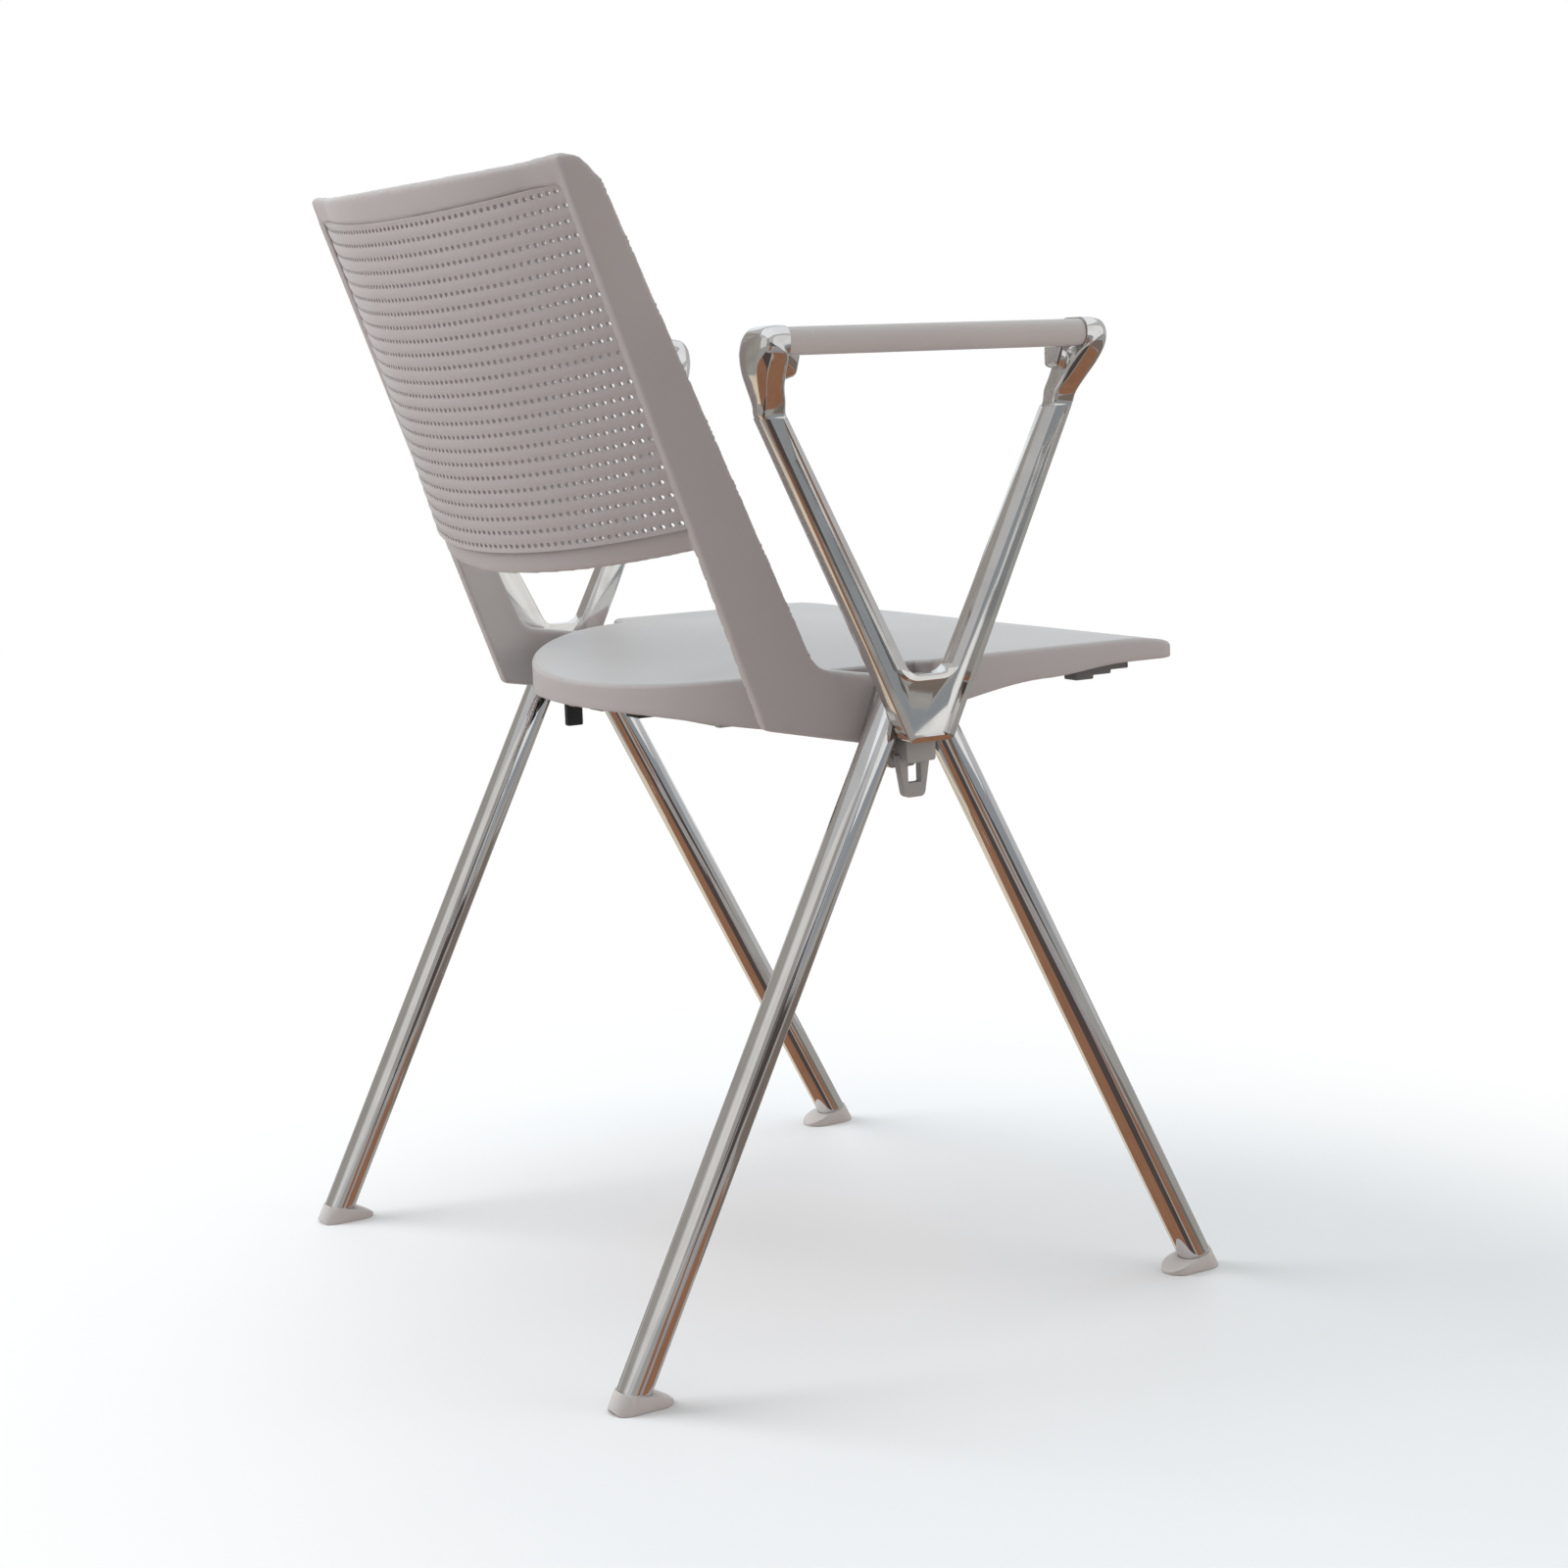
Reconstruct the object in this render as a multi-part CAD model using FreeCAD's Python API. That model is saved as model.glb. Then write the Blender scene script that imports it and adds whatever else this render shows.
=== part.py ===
import FreeCAD, Part

import math
import os

from FreeCAD import Placement, Rotation, Vector

# Conference armchair, in millimetres. +Z is up, the sitter faces -Y, and the sitter's right is -X.
# It is modelled about the plane where the leg axes meet (y = 0), and moved at the end so that the
# origin lies on the floor under the middle of the chair. Pieces on the -X side are made as mirror
# images of those on the +X side.

# Legs: round tubes, two on each side, that meet in an A
LEG_X = 240.0
LEG_DIAMETER = 22.0
LEG_WALL = 2.0
LEG_APEX_Z = 450.0
FRONT_FOOT_REACH = 232.0
REAR_FOOT_REACH = 226.0
LEG_TOP_BELOW_APEX = 14.0
LEG_MITRE_GAP = 0.4

# Foot glides: low shoes with a socket for the tube
FOOT_TOE = 31.0
FOOT_TOE_THICKNESS = 1.8
FOOT_COLLAR_WALL = 1.0
FOOT_COLLAR_HEEL_HEIGHT = 13.5
FOOT_COLLAR_TOE_HEIGHT = 8.0
FOOT_SOLE = 4.0
FOOT_TOE_ROUND_SHARE = 0.96
FOOT_TOE_START = 2.0
FOOT_HEEL_BEVEL = 4.0
FOOT_EDGE_ROUND = 1.0
FOOT_COLLAR_ROUND = 1.5
FOOT_SOCKET_CLEARANCE = 0.15

# Cross tube between the two sides, and the steel hub plates on its ends
CROSS_BELOW_APEX = 43.0
CROSS_DIAMETER = 25.0
CROSS_WALL = 2.0
HUB_THICKNESS = 5.0
HUB_HALF_WIDTH = 27.0
HUB_TOP_HALF_WIDTH = 15.0
HUB_TOP_ABOVE_CROSS = 30.0
HUB_SHOULDER_BELOW_CROSS = 2.0
HUB_TAB_HALF_WIDTH = 9.0
HUB_TAB_BELOW_CROSS = 28.0
HUB_TAB_CORNER = 3.0
HUB_CORNER = 4.0

# Side bolts: through the back's foot, the hub plate and a leg tube into the arm casting
SIDE_BOLT_DIAMETER = 6.0
SIDE_BOLT_HEAD_DIAMETER = 10.0
SIDE_BOLT_HEAD_HEIGHT = 4.0
SIDE_BOLT_KEY_DIAMETER = 4.5
SIDE_BOLT_KEY_DEPTH = 2.0
SIDE_BOLT_DEPTH = 6.5
SIDE_BOLT_ABOVE_CROSS = 11.0
HOLE_CLEARANCE = 0.3
THREAD_CLEARANCE = 0.1
THREAD_END_GAP = 0.5

# Blocks that fill the crotch between the leg tops, and the link loop under the right one
BLOCK_CLEARANCE = 0.3
BLOCK_HALF_WIDTH = 11.0
BLOCK_FROM_HUB = 7.0
BLOCK_BOTTOM_BELOW_CROSS = 22.0
BLOCK_TOP_ABOVE_CROSS = 10.0
BLOCK_CORNER = 2.0
LOOP_THICKNESS = 6.0
LOOP_TOP_WIDTH = 25.0
LOOP_BOTTOM_WIDTH = 15.0
LOOP_DROP = 24.0
LOOP_CORNER = 4.0
LOOP_SLOT_WIDTH = 10.0
LOOP_SLOT_HEIGHT = 12.5
LOOP_SLOT_BELOW_BLOCK = 2.0
LOOP_SLOT_CORNER = 1.0

# Row link: a flat bar that slides out sideways under the left hub, with a plug on its end
LINK_BAR_WIDTH = 6.0
LINK_BAR_HEIGHT = 7.0
LINK_BAR_BELOW_CROSS = 16.8
LINK_TRAVEL = 105.0
LINK_TIP_PAST_LEG = 1.5
LINK_LUG_LENGTH = 3.0
LINK_LUG_DROP = 16.0
LINK_HEAD_LENGTH = 6.0
LINK_HEAD_EXTRA = 2.5
LINK_STOP_GAP = 0.5
LINK_GUIDE_LENGTH = 20.0
LINK_GUIDE_WIDTH = 22.0
LINK_GUIDE_FLOOR = 2.5
LINK_GUIDE_CLEARANCE = 0.3
LINK_GUIDE_FROM_HUB = 44.0
LINK_GUIDE_SPACING = 60.0
LINK_GUIDE_SADDLE = 5.0
PLUG_WIDTH = 13.5
PLUG_WALL = 1.2
PLUG_FLOOR = 5.0
PLUG_TOP_GAP = 0.8
PLUG_CLEARANCE = 0.1
PLUG_ROUND = 1.5
PLUG_PEG_LENGTH = 4.0
PLUG_PEG_ROOM = 1.5

# Seat rails: straps across the tube, and the seat that stands on them
RAIL_X = 95.0
RAIL_WIDTH = 25.0
RAIL_THICKNESS = 3.0
RAIL_FRONT = 165.0
RAIL_REAR = 78.0
RAIL_END_ROUND = 7.5
SEAT_EDGE_ABOVE_RAIL = 23.5
SEAT_LEG_GAP = 7.0
SEAT_WALL = 4.5
SEAT_FRONT = 235.0
SEAT_FRONT_BOW = 11.0
SEAT_FRONT_CORNER = 14.0
SEAT_WIDE_END = 28.0
SEAT_HIP_ROUND = 5.0
SEAT_REAR_CENTRE = -34.0
SEAT_REAR_HALF_WIDTH = 204.0
SEAT_REAR_DEPTH = 155.5
SEAT_DISH = 18.0
SEAT_DISH_START = -205.0
SEAT_DISH_LENGTH = 315.0
SEAT_FALL_START = -190.0
SEAT_FALL = 6.0
SEAT_SKIRT_REAR = 36.0
SEAT_SKIRT_SIDE = 44.0
SEAT_SKIRT_HUB = 36.0
SEAT_SKIRT_MIDDLE = 21.0
SEAT_SKIRT_FRONT = 16.0
SEAT_SIDE_STATION = 48.0
SEAT_MIDDLE_STATION = -124.0
SEAT_GRID_COLUMNS = 9
SEAT_GRID_ROWS = 17
SEAT_CROSS_CLEARANCE = 1.5
SEAT_BOSS_DIAMETER = 16.0
SEAT_SCREW_DIAMETER = 5.0
SEAT_SCREW_LENGTH = 8.0
SEAT_SCREW_HEAD_DIAMETER = 9.0
SEAT_SCREW_HEAD_HEIGHT = 3.0
SEAT_SCREW_END_MARGIN = 15.0

# Stacking bumpers: stepped blocks under the front of the seat
BUMPER_X = 200.0
BUMPER_WIDTH = 14.0
BUMPER_FRONT = 203.0
BUMPER_STEP_LENGTH = 15.0
BUMPER_STEPS = 3
BUMPER_STEP_HEIGHT = 2.5
BUMPER_BOTTOM_BELOW_EDGE = 27.0
BUMPER_SEAT_GAP = 0.1

# Back frame: two L-shaped blades joined by a top and a bottom rail
BLADE_INNER_X = 187.0
BLADE_THICKNESS = 10.0
BLADE_FOOT_Y = 82.0
BLADE_LEAN = 20.1
BLADE_LENGTH = 384.0
BLADE_FLARE = 30.0
BLADE_DEPTH_FOOT = 40.0
BLADE_DEPTH_TOP = 18.0
BLADE_TOP_FLAT = 11.5
BLADE_TOP_DROP = 4.0
BLADE_TOP_SLANT = 23.0
BLADE_TOP_ROUND = 11.0
BLADE_FRONT_ROUND = 24.0
BLADE_KNEE_ROUND = 15.0
BLADE_EDGE_ROUND = 4.0
BLADE_REAR_ROUND = 1.5
FOOT_TOP_ABOVE_CROSS = 31.0
FOOT_TOP_SLOPE = 0.155
FOOT_BOTTOM_BELOW_CROSS = 20.5
FOOT_FRONT_END = 25.0
FOOT_END_ROUND = 6.0
FOOT_INNER_X = 206.0
FOOT_BEND_ROUND = 40.0
BACK_BOW_FOOT = 52.0
BACK_BOW_TOP = 28.6
BACK_EDGE_RECESS = 5.0
TOP_RAIL_HEIGHT = 19.0
TOP_RAIL_CROWN = 6.0
TOP_RAIL_THICKNESS = 7.0
TOP_RAIL_BELOW_BLADE = 3.5
BOTTOM_RAIL_START = 124.0
BOTTOM_RAIL_HEIGHT = 16.0
BOTTOM_RAIL_THICKNESS = 7.0
RAIL_INTO_BLADE = 5.0
PANEL_THICKNESS = 4.0
PANEL_SETBACK = 0.5
PANEL_CLEARANCE = 0.3

# Arm castings: a V with a recessed outer face, and cupped ends that hold the pad
ARM_MIDDLE_Y = -0.5
ARM_BASE_BELOW_CROSS = 8.0
ARM_BASE_HALF_WIDTH = 16.5
ARM_BASE_ROUND = 5.0
ARM_NECK_BELOW_PAD = 48.2
ARM_NECK_OUTER = 114.7
ARM_NECK_INNER = 97.5
ARM_NOTCH_RISE = 43.0
ARM_NOTCH_HALF_WIDTH = 14.5
ARM_NOTCH_ROUND = 12.0
ARM_DEPTH = 13.0
ARM_RIM = 4.5
ARM_RECESS = 5.0
ARM_RECESS_CORNER = 1.0
ARM_TUBE_GAP = 0.3
PAD_RISE = 245.2
PAD_X = 274.0
PAD_WIDTH = 27.0
PAD_THICKNESS = 17.0
PAD_ROUND = 7.5
PAD_HALF_LENGTH = 109.8
PAD_END_GAP = 0.2
PAD_SPIGOT = 7.0
PAD_SPIGOT_INSET = 3.0
CUP_OVER_PAD = 1.0
CUP_SOCKET_CLEARANCE = 0.2
BOSS_X_FROM_PAD = -7.0
BOSS_REACH = 13.0
BOSS_ROOT = 4.0
BOSS_DROP = 17.0
BOSS_TIP_DROP = 12.0
BOSS_CORNER = 2.0
BOSS_WIDTH = 13.0
BOSS_GAP = 0.1
PAD_SCREW_DIAMETER = 4.0
PAD_SCREW_LENGTH = 10.0
PAD_SCREW_HEAD_DIAMETER = 7.0
PAD_SCREW_HEAD_HEIGHT = 2.5
PAD_SCREW_HEAD_SUNK = 9.0

# Elbow that carries the arm over into the cup: at each station its inner corner and its outer corner,
# both as (distance past the pad's end, distance below the pad's axis), then its inner and outer face
# as distances from the pad's axis across the chair
ELBOW_STATIONS = [
    ((-9.0, 35.3), (8.3, 37.3), (-22.5, -7.0)),
    ((-6.0, 26.3), (12.5, 28.3), (-22.0, -1.0)),
    ((-4.0, 18.3), (17.0, 18.3), (-21.0, 6.0)),
    ((-2.0, 12.3), (19.3, 8.3), (-19.5, 12.0)),
    ((-1.0, 10.0), (19.0, -1.0), (-17.5, 14.3)),
    ((-0.6, 9.8), (15.5, -7.5), (-15.5, 14.4)),
]
ELBOW_CORNER_SHARE = 0.22
ELBOW_CREST_PAST_PAD = 8.0

# Values worked out from the sizes above
LEG_RADIUS = LEG_DIAMETER / 2
CROSS_Z = LEG_APEX_Z - CROSS_BELOW_APEX
CROSS_RADIUS = CROSS_DIAMETER / 2
FRONT_FOOT_SLOPE = FRONT_FOOT_REACH / LEG_APEX_Z
REAR_FOOT_SLOPE = REAR_FOOT_REACH / LEG_APEX_Z
HUB_OUTER_X = LEG_X - LEG_RADIUS
HUB_INNER_X = HUB_OUTER_X - HUB_THICKNESS
LINK_OUTER_GUIDE_X = HUB_INNER_X - LINK_GUIDE_FROM_HUB
LINK_INNER_GUIDE_X = LINK_OUTER_GUIDE_X - LINK_GUIDE_SPACING
ARM_FACE_X = LEG_X + LEG_RADIUS + ARM_TUBE_GAP
ARM_BASE_Z = CROSS_Z - ARM_BASE_BELOW_CROSS
PAD_Z = CROSS_Z + PAD_RISE
ARM_NECK_Z = PAD_Z - ARM_NECK_BELOW_PAD
CUP_INNER = PAD_HALF_LENGTH + PAD_END_GAP
BLOCK_BOTTOM_Z = CROSS_Z - BLOCK_BOTTOM_BELOW_CROSS
LINK_BAR_TOP_Z = CROSS_Z - LINK_BAR_BELOW_CROSS
LINK_BAR_BOTTOM_Z = LINK_BAR_TOP_Z - LINK_BAR_HEIGHT
RAIL_BOTTOM_Z = CROSS_Z + CROSS_RADIUS
RAIL_TOP_Z = RAIL_BOTTOM_Z + RAIL_THICKNESS
SEAT_EDGE_Z = RAIL_TOP_Z + SEAT_EDGE_ABOVE_RAIL
SEAT_HALF_WIDTH = HUB_OUTER_X - SEAT_LEG_GAP
SEAT_REAR_Y = SEAT_REAR_CENTRE + SEAT_REAR_DEPTH
LEAN_SIN = math.sin(math.radians(BLADE_LEAN))
LEAN_COS = math.cos(math.radians(BLADE_LEAN))
FLARE_RATE = math.tan(math.radians(BLADE_FLARE))
PANEL_HALF_WIDTH = BLADE_INNER_X + FLARE_RATE * BACK_EDGE_RECESS
TOP_RAIL_CREST = BLADE_LENGTH - TOP_RAIL_BELOW_BLADE + TOP_RAIL_CROWN
SIDE_BOLT_Z = CROSS_Z + SIDE_BOLT_ABOVE_CROSS

# Room that a cutting shape has past what it cuts
PAST = 60.0

# Distance below which two points are the same point
SAME_POINT = 1e-6

# Cubic millimetres in a cubic centimetre
CUBIC_CM = 1000.0


def corner_arc(before, corner, after, radius):
    """Ends and middle of the arc of one radius that rounds a corner of a polygon."""
    to_before = (before - corner).normalize()
    to_after = (after - corner).normalize()
    half = to_before.getAngle(to_after) / 2
    reach = radius / math.tan(half)
    centre = corner + (to_before + to_after).normalize() * (radius / math.sin(half))
    middle = centre + (corner - centre).normalize() * radius
    return corner + to_before * reach, middle, corner + to_after * reach


def rounded_wire(points, place):
    """Closed wire through (u, v, radius) corners; place(u, v) gives each one's point in space."""
    corners = [place(u, v) for u, v, radius in points]
    radii = [radius for u, v, radius in points]
    count = len(corners)
    starts = []
    edges = []
    for i in range(count):
        if radii[i] > 0:
            start, middle, end = corner_arc(corners[i - 1], corners[i], corners[(i + 1) % count], radii[i])
            edges.append(Part.Arc(start, middle, end).toShape())
        else:
            start = end = corners[i]
        starts.append((start, end))
    for i in range(count):
        run_start = starts[i][1]
        run_end = starts[(i + 1) % count][0]
        if run_start.distanceToPoint(run_end) > SAME_POINT:
            edges.append(Part.LineSegment(run_start, run_end).toShape())
    return Part.Wire(Part.__sortEdges__(edges))


def side_prism(points, x_low, x_high):
    """Solid with a rounded outline of (y, z, radius) corners, from one x to another."""
    wire = rounded_wire(points, lambda y, z: Vector(x_low, y, z))
    return Part.Face(wire).extrude(Vector(x_high - x_low, 0, 0))


def plan_prism(points, z_low, z_high):
    """Solid with a rounded outline of (x, y, radius) corners, from one height to another."""
    wire = rounded_wire(points, lambda x, y: Vector(x, y, z_low))
    return Part.Face(wire).extrude(Vector(0, 0, z_high - z_low))


def end_prism(points, y_low, y_high):
    """Solid with a rounded outline of (x, z, radius) corners, from one y to another."""
    wire = rounded_wire(points, lambda x, z: Vector(x, y_low, z))
    return Part.Face(wire).extrude(Vector(0, y_high - y_low, 0))


def box(low, high):
    """Box between two corners."""
    size = Vector(*high) - Vector(*low)
    return Part.makeBox(size.x, size.y, size.z, Vector(*low))


def rod(start, end, diameter):
    """Round bar from one point to another."""
    run = end - start
    return Part.makeCylinder(diameter / 2, run.Length, start, run)


def tube(start, end, diameter, wall):
    """Round tube from one point to another."""
    return rod(start, end, diameter).cut(rod(start, end, diameter - 2 * wall))


def rounded_box_corners(middle, half_width, bottom, top, radius):
    """Four (u, v, radius) corners of an upright rounded rectangle."""
    return [
        (middle - half_width, bottom, radius),
        (middle + half_width, bottom, radius),
        (middle + half_width, top, radius),
        (middle - half_width, top, radius),
    ]


def mirrored(shape):
    """The same piece on the other side of the chair."""
    return shape.mirror(Vector(0, 0, 0), Vector(1, 0, 0))


# Legs and feet

def leg_direction(reach):
    """Unit vector down a leg whose foot stands at this y."""
    return Vector(0, reach, -LEG_APEX_Z).normalize()


def leg_point(reach, height):
    """Point on the leg's axis at this height."""
    return Vector(LEG_X, reach * (1 - height / LEG_APEX_Z), height)


def leg_end_height(reach):
    """Height of the axis where the tube's square end just clears the sole."""
    return FOOT_SOLE + LEG_RADIUS * abs(leg_direction(reach).y)


def side_bolt_y(reach):
    """Where a side bolt crosses the leg's axis."""
    return leg_point(reach, SIDE_BOLT_Z).y


def leg(reach):
    """Leg tube, mitred against its partner and cut level at the top."""
    apex = Vector(LEG_X, 0, LEG_APEX_Z)
    above = apex - leg_direction(reach) * PAST
    body = tube(above, leg_point(reach, leg_end_height(reach)), LEG_DIAMETER, LEG_WALL)
    top = LEG_APEX_Z - LEG_TOP_BELOW_APEX
    side = 1 if reach > 0 else -1
    keep_low = min(side * LEG_MITRE_GAP / 2, side * abs(reach) * 2)
    keep_high = max(side * LEG_MITRE_GAP / 2, side * abs(reach) * 2)
    keep = box((LEG_X - LEG_DIAMETER, keep_low, 0), (LEG_X + LEG_DIAMETER, keep_high, top))
    bolt_hole = rod(
        Vector(LEG_X - LEG_DIAMETER, side_bolt_y(reach), SIDE_BOLT_Z),
        Vector(LEG_X + LEG_DIAMETER, side_bolt_y(reach), SIDE_BOLT_Z),
        SIDE_BOLT_DIAMETER + 2 * HOLE_CLEARANCE,
    )
    return body.common(keep).cut(bolt_hole)


def foot_heel(reach):
    """How far the shoe's heel lies outside the leg's axis at the floor."""
    return (LEG_RADIUS + FOOT_COLLAR_WALL) / abs(leg_direction(reach).z)


def foot(reach):
    """Low shoe: a sleeve round the tube's end, with a toe towards the middle of the chair."""
    inward = -1 if reach > 0 else 1
    slope = abs(reach) / LEG_APEX_Z
    heel = foot_heel(reach)

    def at(distance):
        return reach + inward * distance

    half = LEG_RADIUS + FOOT_COLLAR_WALL
    profile = [
        (at(-2 * heel), heel + FOOT_HEEL_BEVEL, 0),
        (at(FOOT_HEEL_BEVEL - heel), 0, FOOT_HEEL_BEVEL),
        (at(FOOT_TOE), 0, 0),
        (at(FOOT_TOE), FOOT_TOE_THICKNESS, FOOT_EDGE_ROUND),
        (at(FOOT_COLLAR_TOE_HEIGHT * slope + heel), FOOT_COLLAR_TOE_HEIGHT, FOOT_COLLAR_ROUND),
        (at(FOOT_COLLAR_HEEL_HEIGHT * slope - heel), FOOT_COLLAR_HEEL_HEIGHT, 0),
        (at(-2 * heel), heel + FOOT_HEEL_BEVEL + FOOT_COLLAR_HEEL_HEIGHT, 0),
    ]
    plan = [
        (LEG_X - half, at(FOOT_TOE_START), 0),
        (LEG_X + half, at(FOOT_TOE_START), 0),
        (LEG_X + half, at(FOOT_TOE), half * FOOT_TOE_ROUND_SHARE),
        (LEG_X - half, at(FOOT_TOE), half * FOOT_TOE_ROUND_SHARE),
    ]
    along = leg_direction(reach) * PAST
    sleeve = rod(leg_point(reach, 0) + along, leg_point(reach, 0) - along, 2 * half)
    shoe = sleeve.fuse(plan_prism(plan, 0, FOOT_COLLAR_HEEL_HEIGHT))
    body = shoe.common(side_prism(profile, LEG_X - half, LEG_X + half)).removeSplitter()
    end = leg_point(reach, leg_end_height(reach))
    up = end - leg_direction(reach) * PAST
    return body.cut(rod(end, up, LEG_DIAMETER + 2 * FOOT_SOCKET_CLEARANCE))


# Cross tube, hub plates and side bolts

def cross_tube():
    """Tube between the two hub plates."""
    left = Vector(HUB_INNER_X, 0, CROSS_Z)
    right = Vector(-HUB_INNER_X, 0, CROSS_Z)
    return tube(right, left, CROSS_DIAMETER, CROSS_WALL)


def bolt_axis_hole(x_low, x_high, diameter):
    """Both side-bolt holes of one side, as one cutting shape."""
    holes = []
    for reach in (-FRONT_FOOT_REACH, REAR_FOOT_REACH):
        low = Vector(x_low, side_bolt_y(reach), SIDE_BOLT_Z)
        high = Vector(x_high, side_bolt_y(reach), SIDE_BOLT_Z)
        holes.append(rod(low, high, diameter))
    return holes[0].fuse(holes[1])


def hub_plate():
    """Steel plate welded to the inner sides of the leg tops."""
    outline = [
        (-HUB_TAB_HALF_WIDTH, CROSS_Z - HUB_TAB_BELOW_CROSS, HUB_TAB_CORNER),
        (HUB_TAB_HALF_WIDTH, CROSS_Z - HUB_TAB_BELOW_CROSS, HUB_TAB_CORNER),
        (HUB_HALF_WIDTH, CROSS_Z - HUB_SHOULDER_BELOW_CROSS, HUB_CORNER),
        (HUB_TOP_HALF_WIDTH, CROSS_Z + HUB_TOP_ABOVE_CROSS, HUB_CORNER),
        (-HUB_TOP_HALF_WIDTH, CROSS_Z + HUB_TOP_ABOVE_CROSS, HUB_CORNER),
        (-HUB_HALF_WIDTH, CROSS_Z - HUB_SHOULDER_BELOW_CROSS, HUB_CORNER),
    ]
    plate = side_prism(outline, HUB_INNER_X, HUB_OUTER_X)
    hole = SIDE_BOLT_DIAMETER + 2 * HOLE_CLEARANCE
    plate = plate.cut(bolt_axis_hole(HUB_INNER_X - PAST, HUB_OUTER_X + PAST, hole))
    return plate.cut(link_bar_room(HUB_INNER_X - PAST, HUB_OUTER_X + PAST))


def link_bar_room(x_low, x_high):
    """Cutting shape of the link bar's passage with its running clearance."""
    half = LINK_BAR_WIDTH / 2 + LINK_GUIDE_CLEARANCE
    return box(
        (x_low, -half, LINK_BAR_BOTTOM_Z - LINK_GUIDE_CLEARANCE),
        (x_high, half, LINK_BAR_TOP_Z + LINK_GUIDE_CLEARANCE),
    )


def side_bolts():
    """The two bolts of one side, heads sunk in the back's foot."""
    bolts = []
    tip_x = ARM_FACE_X + SIDE_BOLT_DEPTH
    for reach in (-FRONT_FOOT_REACH, REAR_FOOT_REACH):
        start = Vector(FOOT_INNER_X, side_bolt_y(reach), SIDE_BOLT_Z)
        tip = Vector(tip_x, side_bolt_y(reach), SIDE_BOLT_Z)
        head = rod(start, start + Vector(SIDE_BOLT_HEAD_HEIGHT, 0, 0), SIDE_BOLT_HEAD_DIAMETER)
        shank = rod(start, tip, SIDE_BOLT_DIAMETER)
        key = rod(start, start + Vector(SIDE_BOLT_KEY_DEPTH, 0, 0), SIDE_BOLT_KEY_DIAMETER)
        bolts.append(head.fuse(shank).cut(key))
    return bolts


# Crotch blocks and link loop

def crotch_block():
    """Plastic block that fills the crotch between the leg tops."""
    top = CROSS_Z + BLOCK_TOP_ABOVE_CROSS

    def room(reach, height):
        half_cut = LEG_RADIUS / abs(leg_direction(reach).z) + BLOCK_CLEARANCE
        return abs(leg_point(reach, height).y) - half_cut

    front_spare = room(FRONT_FOOT_REACH, BLOCK_BOTTOM_Z) - BLOCK_HALF_WIDTH
    rear_spare = room(REAR_FOOT_REACH, BLOCK_BOTTOM_Z) - BLOCK_HALF_WIDTH
    front_shoulder = BLOCK_BOTTOM_Z + front_spare / FRONT_FOOT_SLOPE
    rear_shoulder = BLOCK_BOTTOM_Z + rear_spare / REAR_FOOT_SLOPE
    outline = [
        (-BLOCK_HALF_WIDTH, BLOCK_BOTTOM_Z, BLOCK_CORNER),
        (BLOCK_HALF_WIDTH, BLOCK_BOTTOM_Z, BLOCK_CORNER),
        (BLOCK_HALF_WIDTH, rear_shoulder, 0),
        (room(REAR_FOOT_REACH, top), top, 0),
        (-room(FRONT_FOOT_REACH, top), top, 0),
        (-BLOCK_HALF_WIDTH, front_shoulder, 0),
    ]
    return side_prism(outline, HUB_OUTER_X + BLOCK_FROM_HUB, ARM_FACE_X)


def link_loop_block():
    """Crotch block with the loop that the next chair's plug goes into."""
    top = BLOCK_BOTTOM_Z + LOOP_CORNER
    bottom = BLOCK_BOTTOM_Z - LOOP_DROP
    outline = [
        (-LOOP_BOTTOM_WIDTH / 2, bottom, LOOP_CORNER),
        (LOOP_BOTTOM_WIDTH / 2, bottom, LOOP_CORNER),
        (LOOP_TOP_WIDTH / 2, top, 0),
        (-LOOP_TOP_WIDTH / 2, top, 0),
    ]
    loop = side_prism(outline, LEG_X - LOOP_THICKNESS / 2, LEG_X + LOOP_THICKNESS / 2)
    slot_top = BLOCK_BOTTOM_Z - LOOP_SLOT_BELOW_BLOCK
    slot = side_prism(
        rounded_box_corners(0, LOOP_SLOT_WIDTH / 2, slot_top - LOOP_SLOT_HEIGHT, slot_top, LOOP_SLOT_CORNER),
        LEG_X - LOOP_THICKNESS,
        LEG_X + LOOP_THICKNESS,
    )
    return crotch_block().fuse(loop).cut(slot).removeSplitter()


# Row link

def link_bar():
    """Flat bar with a stop head at its inner end and a lug that carries the plug."""
    tip_x = LEG_X + LINK_TIP_PAST_LEG
    head_x = LINK_INNER_GUIDE_X - LINK_GUIDE_LENGTH / 2 - LINK_TRAVEL - LINK_STOP_GAP
    half = LINK_BAR_WIDTH / 2
    body = box((head_x - LINK_HEAD_LENGTH, -half, LINK_BAR_BOTTOM_Z), (tip_x, half, LINK_BAR_TOP_Z))
    head = box(
        (head_x - LINK_HEAD_LENGTH, -half - LINK_HEAD_EXTRA, LINK_BAR_BOTTOM_Z),
        (head_x, half + LINK_HEAD_EXTRA, LINK_BAR_TOP_Z),
    )
    lug = box(
        (tip_x - LINK_LUG_LENGTH, -half, LINK_BAR_BOTTOM_Z - LINK_LUG_DROP),
        (tip_x, half, LINK_BAR_TOP_Z),
    )
    return body.fuse(head).fuse(lug).removeSplitter()


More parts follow.
